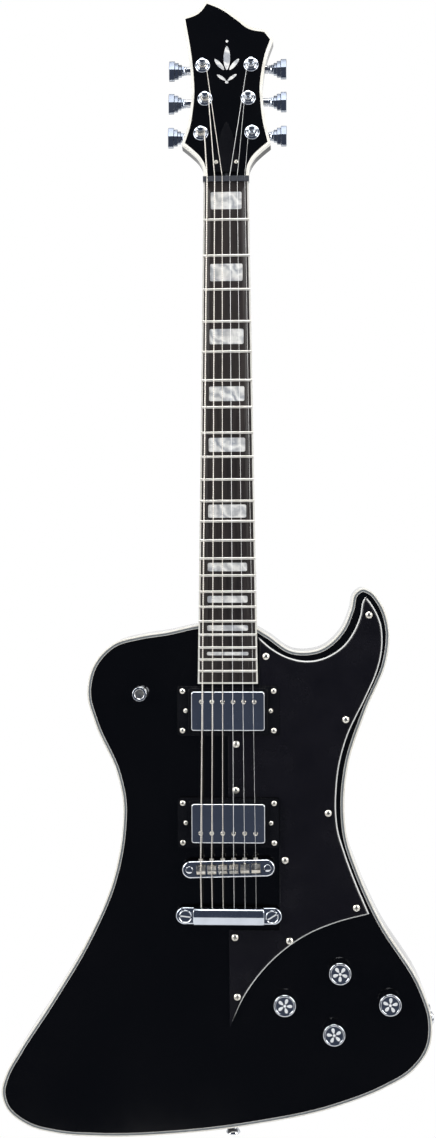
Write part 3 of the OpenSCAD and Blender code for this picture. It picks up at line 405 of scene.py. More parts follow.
def bake(o):
    """Turns an object's modifiers into its plain mesh."""
    mesh = evaluated_mesh(o)
    o.modifiers.clear()
    old = o.data
    o.data = mesh
    bpy.data.meshes.remove(old)
    return o


def refine(node, mat, width=0.3, segments=3, angle=28.0, name=None, body="guitar", faces=None):
    """The CAD node's shape, its triangles merged and its hard edges rounded by width, in millimetres."""
    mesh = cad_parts[node].data.copy()
    mesh.name = name or node + "_finished"
    mesh.materials.clear()
    for m in mat if isinstance(mat, (list, tuple)) else [mat]:
        mesh.materials.append(m)
    bm = bmesh.new()
    bm.from_mesh(mesh)
    bmesh.ops.remove_doubles(bm, verts=bm.verts, dist=3e-6)
    bmesh.ops.dissolve_degenerate(bm, edges=bm.edges, dist=1e-6)
    bmesh.ops.dissolve_limit(bm, angle_limit=math.radians(0.8), verts=bm.verts, edges=bm.edges)
    for f in bm.faces:
        f.smooth = True
        f.material_index = 0
    if faces:
        for f in bm.faces:
            f.material_index = faces(f)
    bm.to_mesh(mesh)
    bm.free()
    if "sharp_face" in mesh.attributes:
        mesh.attributes.remove(mesh.attributes["sharp_face"])
    mesh.polygons.foreach_set("use_smooth", [True] * len(mesh.polygons))
    mesh.set_sharp_from_angle(angle=math.radians(angle))
    o = bpy.data.objects.new(mesh.name, mesh)
    bpy.context.scene.collection.objects.link(o)
    if width:
        m = o.modifiers.new("round", "BEVEL")
        m.width = width * MM
        m.segments = segments
        m.limit_method = "ANGLE"
        m.angle_limit = math.radians(angle)
        m.harden_normals = True
        m.use_clamp_overlap = True
        bake(o)
    return settle(o, body, (node,))


def lathe(profile, sides):
    """Rings of points around the -Y axis; profile is [radius, height], from the base to the crown."""
    verts, faces = [], []
    for r, h in profile:
        verts += [(r * math.cos(2 * math.pi * k / sides), -h, r * math.sin(2 * math.pi * k / sides))
                  for k in range(sides)]
    for j in range(len(profile) - 1):
        for k in range(sides):
            a, b = j * sides + k, j * sides + (k + 1) % sides
            faces.append((a, b, b + sides, a + sides))
    faces.append(tuple(range(sides))[::-1])
    faces.append(tuple((len(profile) - 1) * sides + k for k in range(sides)))
    return verts, faces


def tower(rows):
    """Closed solid from equal outlines, each a list of (x, z) at its own depth y."""
    n = len(rows[0][0])
    verts = [(p[0], y, p[1]) for outline, y in rows for p in outline]
    faces = []
    for j in range(len(rows) - 1):
        for k in range(n):
            a, b = j * n + k, j * n + (k + 1) % n
            faces.append((a, b, b + n, a + n))
    faces.append(tuple(range(n))[::-1])
    faces.append(tuple((len(rows) - 1) * n + k for k in range(n)))
    return verts, faces


def cut(o, cutters, solver="EXACT"):
    """Takes each cutter away from the object."""
    for c in cutters:
        m = o.modifiers.new("cut", "BOOLEAN")
        m.operation, m.solver, m.object = "DIFFERENCE", solver, c
        m.material_mode = "INDEX"
        bake(o)
    for c in cutters:
        bpy.data.objects.remove(c)
    o.data.polygons.foreach_set("use_smooth", [True] * len(o.data.polygons))
    o.data.set_sharp_from_angle(angle=math.radians(35))


def cutter(verts, faces, place=None):
    mesh = bpy.data.meshes.new("cutter")
    place = place or Matrix.Identity(4)
    mesh.from_pydata([(place @ Vector(v)) * MM for v in verts], [], faces)
    bm = bmesh.new()
    bm.from_mesh(mesh)
    bmesh.ops.recalc_face_normals(bm, faces=bm.faces)
    bm.to_mesh(mesh)
    bm.free()
    o = bpy.data.objects.new("cutter", mesh)
    bpy.context.scene.collection.objects.link(o)
    return o


def rectangle(c, w, h):
    return [Vector((c[0] + sx * w / 2, c[1] + sz * h / 2)) for sx, sz in ((-1, -1), (1, -1), (1, 1), (-1, 1))]


def turned_x(x, y, z):
    """Place of a lathe whose axis points along +X."""
    return Matrix.Translation((x, y, z)) @ Matrix.Rotation(math.radians(90), 4, "Z")


def repeat_tree(name):
    """Geometry Nodes that set an item on every point, turned by the point's own values and sized by one size for them
    all.
    """
    tree = bpy.data.node_groups.new(name, "GeometryNodeTree")
    face = tree.interface
    face.new_socket("Geometry", in_out="INPUT", socket_type="NodeSocketGeometry")
    face.new_socket("Item", in_out="INPUT", socket_type="NodeSocketObject")
    face.new_socket("Size", in_out="INPUT", socket_type="NodeSocketFloat")
    face.new_socket("Wobble", in_out="INPUT", socket_type="NodeSocketFloat")
    face.new_socket("Finish", in_out="INPUT", socket_type="NodeSocketMaterial")
    face.new_socket("Geometry", in_out="OUTPUT", socket_type="NodeSocketGeometry")
    n, link = tree.nodes, tree.links.new
    start, end = n.new("NodeGroupInput"), n.new("NodeGroupOutput")
    info = n.new("GeometryNodeObjectInfo")
    link(start.outputs["Item"], info.inputs["Object"])
    aim = n.new("GeometryNodeInputNamedAttribute")
    aim.data_type = "FLOAT_VECTOR"
    aim.inputs["Name"].default_value = "aim"
    spin = n.new("GeometryNodeInputNamedAttribute")
    spin.data_type = "FLOAT"
    spin.inputs["Name"].default_value = "spin"
    rand = n.new("FunctionNodeRandomValue")
    rand.data_type = "FLOAT"
    rand.inputs["Seed"].default_value = 7
    scale = n.new("ShaderNodeMath")
    scale.operation = "MULTIPLY"
    link(start.outputs["Wobble"], scale.inputs[0])
    link(rand.outputs[1], scale.inputs[1])
    add = n.new("ShaderNodeMath")
    add.operation = "ADD"
    link(spin.outputs["Attribute"], add.inputs[0])
    link(scale.outputs[0], add.inputs[1])
    turn = n.new("ShaderNodeCombineXYZ")
    link(add.outputs[0], turn.inputs["Y"])
    aim_rot = n.new("FunctionNodeEulerToRotation")
    link(aim.outputs["Attribute"], aim_rot.inputs[0])
    spin_rot = n.new("FunctionNodeEulerToRotation")
    link(turn.outputs[0], spin_rot.inputs[0])
    both = n.new("FunctionNodeRotateRotation")
    both.rotation_space = "LOCAL"
    link(aim_rot.outputs[0], both.inputs["Rotation"])
    link(spin_rot.outputs[0], both.inputs["Rotate By"])
    place = n.new("GeometryNodeInstanceOnPoints")
    link(start.outputs["Geometry"], place.inputs["Points"])
    link(info.outputs["Geometry"], place.inputs["Instance"])
    link(both.outputs[0], place.inputs["Rotation"])
    link(start.outputs["Size"], place.inputs["Scale"])
    real = n.new("GeometryNodeRealizeInstances")
    link(place.outputs["Instances"], real.inputs["Geometry"])
    paint = n.new("GeometryNodeSetMaterial")
    link(real.outputs["Geometry"], paint.inputs["Geometry"])
    link(start.outputs["Finish"], paint.inputs["Material"])
    link(paint.outputs["Geometry"], end.inputs["Geometry"])
    return tree


def sweep_tree(name):
    """Geometry Nodes that run a low rounded bead along every curve."""
    tree = bpy.data.node_groups.new(name, "GeometryNodeTree")
    face = tree.interface
    face.new_socket("Geometry", in_out="INPUT", socket_type="NodeSocketGeometry")
    face.new_socket("Bead Width", in_out="INPUT", socket_type="NodeSocketFloat")
    face.new_socket("Bead Height", in_out="INPUT", socket_type="NodeSocketFloat")
    face.new_socket("Finish", in_out="INPUT", socket_type="NodeSocketMaterial")
    face.new_socket("Geometry", in_out="OUTPUT", socket_type="NodeSocketGeometry")
    n, link = tree.nodes, tree.links.new
    start, end = n.new("NodeGroupInput"), n.new("NodeGroupOutput")
    ring = n.new("GeometryNodeCurvePrimitiveCircle")
    ring.inputs["Resolution"].default_value = 16
    ring.inputs["Radius"].default_value = 0.5
    size = n.new("ShaderNodeCombineXYZ")
    link(start.outputs["Bead Height"], size.inputs["X"])
    link(start.outputs["Bead Width"], size.inputs["Y"])
    size.inputs["Z"].default_value = 1.0
    shape = n.new("GeometryNodeTransform")
    link(ring.outputs["Curve"], shape.inputs["Geometry"])
    link(size.outputs[0], shape.inputs["Scale"])
    upright = n.new("GeometryNodeSetCurveNormal")
    upright.mode = "Z_UP"
    link(start.outputs["Geometry"], upright.inputs["Curve"])
    run = n.new("GeometryNodeCurveToMesh")
    run.inputs["Fill Caps"].default_value = True
    link(upright.outputs["Curve"], run.inputs["Curve"])
    link(shape.outputs["Geometry"], run.inputs["Profile Curve"])
    real = n.new("GeometryNodeRealizeInstances")
    link(run.outputs["Mesh"], real.inputs["Geometry"])
    paint = n.new("GeometryNodeSetMaterial")
    link(real.outputs["Geometry"], paint.inputs["Geometry"])
    link(start.outputs["Finish"], paint.inputs["Material"])
    link(paint.outputs["Geometry"], end.inputs["Geometry"])
    return tree


REPEAT = repeat_tree("set_items_on_points")
SWEEP = sweep_tree("bead_along_curves")


def set_inputs(modifier, tree, values):
    for s in tree.interface.items_tree:
        if s.in_out == "INPUT" and s.name in values:
            modifier[s.identifier] = values[s.name]


def repeated(name, item, spots, mat, body="guitar", stands_for=(), size=1.0, wobble=0.0):
    """One piece made of the item at each spot, (place, aim, spin), with the places in millimetres."""
    source = item
    points = bpy.data.meshes.new(name)
    points.from_pydata([Vector(p) * MM for p, _, _ in spots], [], [])
    for kind, label in (("FLOAT_VECTOR", "aim"), ("FLOAT", "spin")):
        points.attributes.new(label, kind, "POINT")
    points.attributes["aim"].data.foreach_set("vector", [c for _, a, _ in spots for c in a])
    points.attributes["spin"].data.foreach_set("value", [turn for _, _, turn in spots])
    o = bpy.data.objects.new(name, points)
    bpy.context.scene.collection.objects.link(o)
    m = o.modifiers.new("repeat", "NODES")
    m.node_group = REPEAT
    set_inputs(m, REPEAT, {"Item": source, "Size": size, "Wobble": wobble, "Finish": mat})
    bake(o)
    bpy.data.objects.remove(source)
    return settle(o, body, stands_for)


def smooth_shade(o, angle=35):
    o.data.polygons.foreach_set("use_smooth", [True] * len(o.data.polygons))
    o.data.set_sharp_from_angle(angle=math.radians(angle))
    return o


def screw_head(r, h, shank_r, shank, recess="cross", sides=28):
    """Domed screw head with its recess cut, underside at the origin and crown along -Y."""
    dome = (r * r + h * h) / (2 * h)
    profile = [(shank_r, -shank), (shank_r, 0), (r * 0.96, 0.0), (r, h * 0.14)]
    for q in (0.3, 0.5, 0.7, 0.86, 0.96):
        profile.append((math.sqrt(max(dome**2 - (dome - h + h * q) ** 2, 0.01)), h * q))
    o = cutter(*lathe(profile, sides))
    if recess == "cross":
        bars = [(r * 1.15, r * 0.24), (r * 0.24, r * 1.15)]
    else:
        bars = [(r * 2.2, r * 0.3)]
    depth = h * 0.55
    cut(o, [cutter(*tower([(rectangle((0, 0), w, d), y) for y in (-h - 1, -h + depth)])) for w, d in bars])
    return smooth_shade(o)


# ---- body ----
def rounding(radius, y_edge, direction, steps=5):
    """Inset and depth along a rounded edge, from the side to the face."""
    return [(radius * (1 - math.cos(math.radians(90 * k / steps))),
             y_edge - direction * radius * (1 - math.sin(math.radians(90 * k / steps)))) for k in range(steps + 1)]


def make_body():
    outline = loop_curve(BODY_POINTS, 8)
    rows = [(inset(outline, 1.7), TOP_Y + 6)] + [(outline, TOP_Y + 6.02), (outline, TOP_Y + 22)]
    back = rounding(3.4, BACK_Y, 1, 7)
    rows = [(inset(outline, 4.0), TOP_Y), (inset(outline, 4.0), TOP_Y + 2), (inset(outline, 2.0), TOP_Y + 2),
            (inset(outline, 2.0), TOP_Y + 6), (outline, TOP_Y + 6), (outline, TOP_Y + 20)]
    rows += [(inset(outline, d), y) for d, y in back]
    verts, faces = tower(rows)
    o = piece("body_shell", verts, faces, LACQUER, slot="black_lacquer", stands_for=("body",))
    cover = ellipse(CAVITY_C, (CAVITY_R[0] + COVER_LEDGE, CAVITY_R[1] + COVER_LEDGE), 96)
    cuts = [cutter(*tower([(rectangle((0, z), 73, 41), TOP_Y - 6), (rectangle((0, z), 73, 41), TOP_Y + 19)]))
            for z in (NECK_PICKUP_Z, BRIDGE_PICKUP_Z)]
    cuts.append(cutter(*tower([(cover, BACK_Y - COVER_T), (cover, BACK_Y + 4)])))
    ring = [(JACK_PLATE_R, 0), (JACK_PLATE_R, 8)]
    cuts.append(cutter(*lathe(ring, 64), turned_x(JACK_FACE_X, MID_Y, JACK_Z)))
    cut(o, cuts)
    # Cream binding, with a slightly eased outer corner, and the fine lines inside it
    w = 1.55
    rows = [(inset(outline, w), TOP_Y + 6.0), (inset(outline, w), TOP_Y)]
    rows += [(inset(outline, 0.75), TOP_Y), (inset(outline, 0.45), TOP_Y + 0.08), (inset(outline, 0.18), TOP_Y + 0.3),
             (inset(outline, 0.04), TOP_Y + 0.65), (outline, TOP_Y + 1.1), (outline, TOP_Y + 6.0)]
    edge_band("body_binding_strip", rows, CREAM, "cream_binding", ("body_binding",))
    lines = [(w, w + 0.35, DARK_LINE), (w + 0.35, w + 1.85, GREY_LINE), (w + 1.85, w + 2.15, CREAM),
             (w + 2.15, w + 2.5, DARK_LINE)]
    verts, faces, mats = [], [], []
    for k, (a, b, _) in enumerate(lines):
        v, f = band_mesh([(inset(outline, b), TOP_Y + 1.5), (inset(outline, b), TOP_Y), (inset(outline, a), TOP_Y),
                          (inset(outline, a), TOP_Y + 1.5)])
        faces += [tuple(i + len(verts) for i in q) for q in f]
        mats += [k] * len(f)
        verts += v
    piece("body_purfling_lines", verts, faces, [m for _, _, m in lines], slot="purfling_lines",
          stands_for=("body_purfling",), face_mats=mats)


def band_mesh(rows):
    """Closed ring around an outline, from rows that go round its section."""
    n, m = len(rows[0][0]), len(rows)
    verts = [(p[0], y, p[1]) for outline, y in rows for p in outline]
    faces = []
    for j in range(m):
        for k in range(n):
            a, b = j * n + k, j * n + (k + 1) % n
            c, d = ((j + 1) % m) * n + (k + 1) % n, ((j + 1) % m) * n + k
            faces.append((a, b, c, d))
    return verts, faces


def edge_band(name, rows, mat, slot, nodes):
    verts, faces = band_mesh(rows)
    return piece(name, verts, faces, mat, slot=slot, stands_for=nodes)


# ---- strings ----
def wrap_from(i):
    return 3.2 + 3 * (GAUGES[i] + 0.04)


def string_route(i):
    x0, x1 = string_x(i, BRIDGE_SPREAD), string_x(i, NUT_SPREAD)
    z1 = BRIDGE_Z + math.tan(math.radians(BRIDGE_SLANT)) * x0 - 0.4
    tail = Vector((x0, TOP_Y - 9.5, TAIL_Z + 5))
    saddle = Vector((x0, z1 * math.tan(math.radians(NECK_ANGLE)) - BRIDGE_ACTION + board_sag(x0) - GAUGES[i] / 2, z1))
    nuts = [ON_NECK @ Vector((x1, board_sag(x1) - 1.3 - GAUGES[i] / 2, z)) for z in (0, 5)]
    px, ps = tuner_place(i)
    r = 3.05 + GAUGES[i] / 2
    wraps = []
    for k in range(0, 109):
        a = math.radians(k * 10)
        wraps.append(ON_HEAD @ Vector((px - tuner_side(i) * r * math.cos(a),
                                       k * 10 / 360 * (GAUGES[i] + 0.04) - wrap_from(i), ps + r * math.sin(a))))
    return [tail, saddle] + nuts + wraps


def string_tube(i, sides=10):
    route = string_route(i)
    r = GAUGES[i] / 2
    dense = [route[0]]
    for a, b in zip(route, route[1:]):
        steps = max(1, int((b - a).length / 24))
        dense += [a.lerp(b, k / steps) for k in range(1, steps + 1)]
    verts, faces, uvs = [], [], []
    run = 0.0
    runs = []
    for k, p in enumerate(dense):
        t = (dense[min(k + 1, len(dense) - 1)] - dense[max(k - 1, 0)]).normalized()
        u = t.cross(Vector((0, 1, 0))).normalized()
        v = u.cross(t)
        if k:
            run += (p - dense[k - 1]).length * MM
        runs.append(run)
        verts += [p + r * (math.cos(2 * math.pi * j / sides) * u + math.sin(2 * math.pi * j / sides) * v)
                  for j in range(sides)]
    for k in range(len(dense) - 1):
        for j in range(sides):
            a, b = k * sides + j, k * sides + (j + 1) % sides
            faces.append((a, b, b + sides, a + sides))
            left, right = j / sides, (j + 1) / sides
            uvs.append([(left, runs[k]), (right, runs[k]), (right, runs[k + 1]), (left, runs[k + 1])])
    faces.append(tuple(range(sides))[::-1])
    faces.append(tuple((len(dense) - 1) * sides + j for j in range(sides)))
    uvs += [[(0, 0)] * sides] * 2
    return verts, faces, uvs


def make_strings():
    for name, group, mat, slot, node in (("wound_string_set", (0, 1, 2), WOUND, "wound_nickel", "wound_strings"),
                                         ("plain_string_set", (3, 4, 5), STEEL, "plain_steel", "plain_strings")):
        verts, faces, uvs = [], [], []
        for i in group:
            v, f, u = string_tube(i)
            faces += [tuple(k + len(verts) for k in q) for q in f]
            verts += v
            uvs += u
        mesh_uv = uvs
        piece(name, verts, faces, mat, slot=slot, stands_for=(node,), uvs=mesh_uv, smooth=60)


def rounded_outline(w, h, r, steps=6, centre=(0, 0), turn=0.0):
    """Rectangle with rounded corners as a list of points."""
    out = []
    for sx, sz, start in ((1, 1, 0), (-1, 1, 90), (-1, -1, 180), (1, -1, 270)):
        for k in range(steps + 1):
            a = math.radians(start + 90 * k / steps)
            out.append(Vector((sx * (w / 2 - r) + r * math.cos(a), sz * (h / 2 - r) + r * math.sin(a))))
    c, s = math.cos(math.radians(turn)), math.sin(math.radians(turn))
    return [Vector((centre[0] + p.x * c - p.y * s, centre[1] + p.x * s + p.y * c)) for p in out]


def slab(outline, y_back, y_front, radius, steps=5, lip=0.0):
    """Solid plate with its front edge rounded, and its back edge eased by lip."""
    rows = []
    if lip:
        rows += [(inset(outline, lip), y_back), (inset(outline, lip * 0.3), y_back - lip * 0.3)]
        rows.append((outline, y_back - lip))
    else:
        rows.append((outline, y_back))
    for k in range(steps + 1):
        a = math.radians(90 * k / steps)
        rows.append((inset(outline, radius * (1 - math.cos(a))), y_front + radius * (1 - math.sin(a))))
    return tower(rows)


def join(parts):
    """Several (verts, faces) as one, with the material index of each face."""
    verts, faces, mats = [], [], []
    for part in parts:
        v, f = part[0], part[1]
        faces += [tuple(i + len(verts) for i in q) for q in f]
        own = part[2] if len(part) > 2 else 0
        mats += own if isinstance(own, list) else [own] * len(f)
        verts += [Vector(p) for p in v]
    return verts, faces, mats


def moved(shape, place):
    return [place @ Vector(v) for v in shape[0]], shape[1]


def at(x, y, z):
    return Matrix.Translation((x, y, z))


def make_guard():
    curve = open_curve(GUARD_TOP, 8) + open_curve(GUARD_SIDE, 8) + open_curve(GUARD_ARC, 8)
    edge_x = RING_HALF[0] + 0.3
    straight = [(0.3, -806), (0, -713), (edge_x, -713), (edge_x, BRIDGE_PICKUP_Z + RING_HALF[1] + 0.3),
                (0, BRIDGE_PICKUP_Z + RING_HALF[1] + 0.3), (0, NECK_PICKUP_Z - RING_HALF[1] - 0.3),
                (edge_x, NECK_PICKUP_Z - RING_HALF[1] - 0.3), (edge_x, NECK_PICKUP_Z + RING_HALF[1] + 0.3),
                (29.3, NECK_PICKUP_Z + RING_HALF[1] + 0.3)]
    outline = curve + [Vector(p) for p in straight]
    n = len(curve)

    def bevelled(d, rest=0.12):
        """The outline moved in by d along its curved edges, less and less towards the long tip."""
        full, small = inset(outline, d), inset(outline, min(d, rest))
        out = []
        for k, p in enumerate(outline):
            ease = min(1.0, max(0.0, (p.y - GUARD_TIP_Z) / TIP_FADE))
            out.append(p.lerp(full[k] if k < n else small[k], ease))
        return out

    rows = [(outline, TOP_Y), (outline, TOP_Y - 0.45), (bevelled(1.15), TOP_Y - 1.6),
            (bevelled(1.75), TOP_Y - GUARD_T + 0.12),
            (bevelled(1.95, 0.3), TOP_Y - GUARD_T)]
    verts, faces = tower(rows)
    count = len(outline)
    mats = []
    for j in range(len(rows) - 1):
        mats += [1 if j == 1 and k < n - 1 else 0 for k in range(count)]
    mats += [0, 0]
    piece("pickguard_plies", verts, faces, [GUARD_BLACK, GUARD_WHITE], slot="guard_plastic",
          stands_for=("pickguard",),
          face_mats=mats, smooth=20)


def rosette(r, h, rise):
    """Five small leaves around a bead, standing up from the height h."""
    parts = []
    for k in range(5):
        a = math.radians(90 + 72 * k)
        leaf = [Vector((0.62 * r + 0.36 * r * math.cos(t), 0.2 * r * math.sin(t) * (1 + 0.35 * math.cos(t))))
                for t in (math.radians(20 * q) for q in range(18))]
        leaf = [Vector((p.x * math.cos(a) - p.y * math.sin(a), p.x * math.sin(a) + p.y * math.cos(a)))
                for p in leaf]
        parts.append(tower([(leaf, -h + 0.1), (leaf, -h - rise * 0.6), (inset(leaf, 0.12), -h - rise)]))
    parts.append(lathe([(0.19 * r, h - 0.1), (0.19 * r, h + rise * 0.5), (0.12 * r, h + rise)], 16))
    return parts


def make_knobs():
    side = [(9.2, 1.0), (10.1, 1.15), (10.5, 1.6), (10.5, 17.9)]
    crown = []
    for a in map(math.radians, (18, 36, 54, 72, 90)):
        crown.append((KNOB_R - 1.1 * (1 - math.cos(a)), 17.9 + 1.1 * math.sin(a)))
    lip = [(8.95, 19.0), (8.7, 18.9), (8.5, 18.75)]
    dish = [(8.0, 18.72), (6.0, 18.74), (3.0, 18.76), (0.4, 18.77)]
    for k, (x, z) in enumerate(KNOBS):
        top = Matrix.Rotation(math.radians((20, -35, 60, 5)[k]), 4, "Y")
        parts = [(*lathe(side + crown + lip + dish, 96), 0)]
        parts += [(*moved(q, top), 1) for q in rosette(7.2, 18.75, 0.3)]
        parts.append((*lathe([(2.9, -11.5), (2.9, 1.2)], 32), 0))
        verts, faces, mats = join(parts)
        piece("knob_%d_turned" % (k + 1), verts, faces, [CHROME, ENGRAVING_AND_GLINT], "knob_%d_body" % (k + 1),
              at(x, TOP_Y, z), "satin_chrome", ("knob_%d" % (k + 1),), mats, smooth=32)


def make_frets():
    curve = bpy.data.curves.new("fret_paths", "CURVE")
    curve.dimensions = "3D"
    for n in range(1, FRETS_N + 1):
        half = board_half(fret_z(n)) - 0.45
        spline = curve.splines.new("POLY")
        spline.points.add(12)
        for k in range(13):
            x = half * (k / 6 - 1)
            p = (ON_NECK @ Vector((x, board_sag(x), fret_z(n)))) * MM
            spline.points[k].co = (*p, 1)
    o = bpy.data.objects.new("frets_crowned", curve)
    bpy.context.scene.collection.objects.link(o)
    m = o.modifiers.new("bead", "NODES")
    m.node_group = SWEEP
    set_inputs(m, SWEEP, {"Bead Width": 0.0024, "Bead Height": 0.0021, "Finish": FRET_METAL})
    mesh = evaluated_mesh(o)
    bpy.data.objects.remove(o)
    o = bpy.data.objects.new("frets_crowned", mesh)
    bpy.context.scene.collection.objects.link(o)
    settle(smooth_shade(o, 50), "guitar", ("frets",))


def make_pickups():
    for which, z, top in (("neck", NECK_PICKUP_Z, TOP_Y - 8.2), ("bridge", BRIDGE_PICKUP_Z, TOP_Y - 11.6)):
        outline = rounded_outline(70, 37.6, 2.5, 6, (0, z))
        piece(which + "_pickup_shell", *slab(outline, top + 12, top, 1.5, 6), CHROME, which + "_pickup",
              slot="chrome", stands_for=(which + "_pickup_cover",))
        sign, spread = (1, 50) if which == "neck" else (-1, 52)
        spots = [((string_x(i, spread), top + 0.15, z + 9 * sign), (0, 0, 0), 0.7 * i * i + 0.4)
                 for i in range(6)]
        repeated(which + "_pickup_pole_screws", screw_head(2.3, 0.72, 1.6, 8, "slot", 28), spots, SCREW_METAL,
                 which + "_pickup", (which + "_pickup_poles",))


def taken(o, place):
    """A cutter's shape as a part for join, in its place; the cutter itself is removed."""
    shape = ([place @ (v.co / MM) for v in o.data.vertices], [tuple(q.vertices) for q in o.data.polygons])
    bpy.data.objects.remove(o)
    return shape


def make_bridge():
    on_bridge = at(0, 0, BRIDGE_Z) @ Matrix.Rotation(math.radians(-BRIDGE_SLANT), 4, "Y")
    top, under = TOP_Y - 13.6, TOP_Y - 5
    outline = rounded_outline(88, 16.5, 8.2, 14)
    o = piece("bridge_casting", *slab(outline, under, top, 1.8, 6, 0.4), CHROME, place=on_bridge, slot="chrome",
              stands_for=("bridge",))
    channel = rounded_outline(62.6, 10.4, 1.0, 3)
    cuts = [cutter(*tower([(channel, top - 2), (channel, top + 6)]), on_bridge)]
    for s in (-1, 1):
        bore = lathe([(4.0, -under - 2), (4.0, -top + 2)], 40)
        cuts.append(cutter(*bore, on_bridge @ at(s * 37, 0, 0)))
    cut(o, cuts, "FAST")
    parts = []
    for s, turn in ((-1, 28), (1, -38)):
        head = cutter(*lathe([(3.7, 8.0), (3.7, 13.1), (3.45, 13.6), (3.0, 13.9)], 40))
        cut(head, [cutter(*tower([(rectangle((0, 0), 9, 1.1), -16), (rectangle((0, 0), 9, 1.1), -13.0)]),
                          Matrix.Rotation(math.radians(turn), 4, "Y"))])
        place = at(s * 37, TOP_Y, BRIDGE_Z + s * 37 * math.tan(math.radians(BRIDGE_SLANT)))
        parts.append(taken(head, place))
        wheel = [(2.5, -15), (2.5, 1.4), (6.2, 1.5), (6.5, 1.8), (6.5, 2.9), (6.2, 3.2), (2.6, 3.3), (2.6, 8.1)]
        parts.append(moved(lathe(wheel, 40), place))
    verts, faces, _ = join(parts)
    piece("bridge_post_pair", verts, faces, CHROME, slot="chrome", stands_for=("bridge_posts",))


def make_tailpiece():
    under, ear_top, top = TOP_Y - 4.5, TOP_Y - 9.5, TOP_Y - 14.5
    ears = slab(rounded_outline(101, 16.5, 8.2, 14, (0, TAIL_Z)), under, ear_top, 1.8, 5, 0.4)
    section = [(under, -6), (under - 1, -8.1), (under - 3.5, -8.25), (top + 4.2, -8.2), (top + 3.3, -7.9),
               (top + 2.6, -7.1), (top + 2.1, -5.6), (top + 1.15, -2.6), (top + 0.7, -1.7), (top + 0.3, -1.1),
               (top + 0.05, -0.4), (top, 0.6), (top, 4.6), (top + 0.2, 5.6), (top + 0.8, 6.6), (top + 1.8, 7.5),
               (top + 3, 8.0), (top + 5, 8.25), (under - 1, 8.25), (under, 6)]
    mid = Vector(((top + under) / 2, 0))
    rows = []
    for x, grow in ((-33.6, 0.93), (-33.3, 0.975), (-32.8, 1.0), (32.8, 1.0), (33.3, 0.975), (33.6, 0.93)):
        rows.append([(x, mid.x + (y - mid.x) * grow, TAIL_Z + z * grow) for y, z in section])
    n = len(section)
    verts = [v for row in rows for v in row]
    faces = [(j * n + k, j * n + (k + 1) % n, (j + 1) * n + (k + 1) % n, (j + 1) * n + k)
             for j in range(len(rows) - 1) for k in range(n)]
    faces += [tuple(range(n))[::-1], tuple((len(rows) - 1) * n + k for k in range(n))]
    verts, faces, _ = join([ears, (verts, faces)])
    piece("tailpiece_casting", verts, faces, SOFT_CHROME, slot="chrome", stands_for=("tailpiece",), smooth=28)
    parts = []
    for s, turn in ((-1, 6), (1, -32)):
        rim = [(6.35, 9.2), (6.35, 11.8), (6.25, 12.15), (6.0, 12.4), (5.6, 12.5), (5.25, 12.3), (5.1, 12.0)]
        stem = [(3.5, -15), (3.5, 0), (6.0, 0.2), (6.0, 2.0), (5.6, 2.4), (3.5, 2.5), (3.5, 9.1)]
        head = cutter(*lathe(stem + rim, 48))
        cut(head, [cutter(*tower([(rectangle((0, 0), 14, 1.7), -14), (rectangle((0, 0), 14, 1.7), -11.2)]),
                          Matrix.Rotation(math.radians(turn), 4, "Y"))])
        glint = Matrix.Rotation(math.radians(turn), 4, "Y")
        place = at(s * 41, TOP_Y, TAIL_Z)
        # a bright frosted bar set in each stud's slot: a painted highlight where the slot would lie in shade
        bar = [(rectangle((0, 0), 9.6, 1.2), -11.9), (rectangle((0, 0), 9.6, 1.2), -11.0)]
        parts.append(moved(tower(bar), place @ glint) + (1,))
        parts.append(taken(head, place))
    verts, faces, mats = join(parts)
    piece("tailpiece_stud_pair", verts, faces, [CHROME, ENGRAVING_AND_GLINT], slot="chrome", stands_for=("tailpiece_studs",),
          face_mats=mats)


def make_tuners():
    bushes = []
    for i in range(6):
        x, s = tuner_place(i)
        place = ON_HEAD @ at(x, 0, s)
        bushes.append(moved(lathe([(4.9, -13.8), (4.9, 0), (7.0, 0.02), (7.35, 0.3), (7.4, 0.7), (7.15, 1.15), (6.7, 1.4),
                                   (5.9, 1.42), (5.5, 1.6), (4.9, 2.5), (4.5, 2.75), (3.1, 2.8)], 48), place))
        post = [(2.98, -14), (2.98, 3.0), (2.9, 3.4), (2.82, 5.2), (2.9, 7.4), (2.98, 8.0), (2.98, 9.3), (2.7, 9.75),
                (2.1, 10.0)]
        o = piece("tuner_%d_string_post" % (i + 1), *lathe(post, 32), SOFT_CHROME, "tuner_%d_post" % (i + 1), place,
                  "chrome", ("tuner_post_%d" % (i + 1),))
        bore = cutter(*lathe([(0.75, -6), (0.75, 6)], 16),
                      place @ at(0, -6.9, 0) @ Matrix.Rotation(math.radians(90), 4, "Z"))
        cut(o, [bore])
    verts, faces, _ = join(bushes)
    piece("tuner_bushing_set", verts, faces, SOFT_CHROME, slot="chrome", stands_for=("tuner_bushings",))


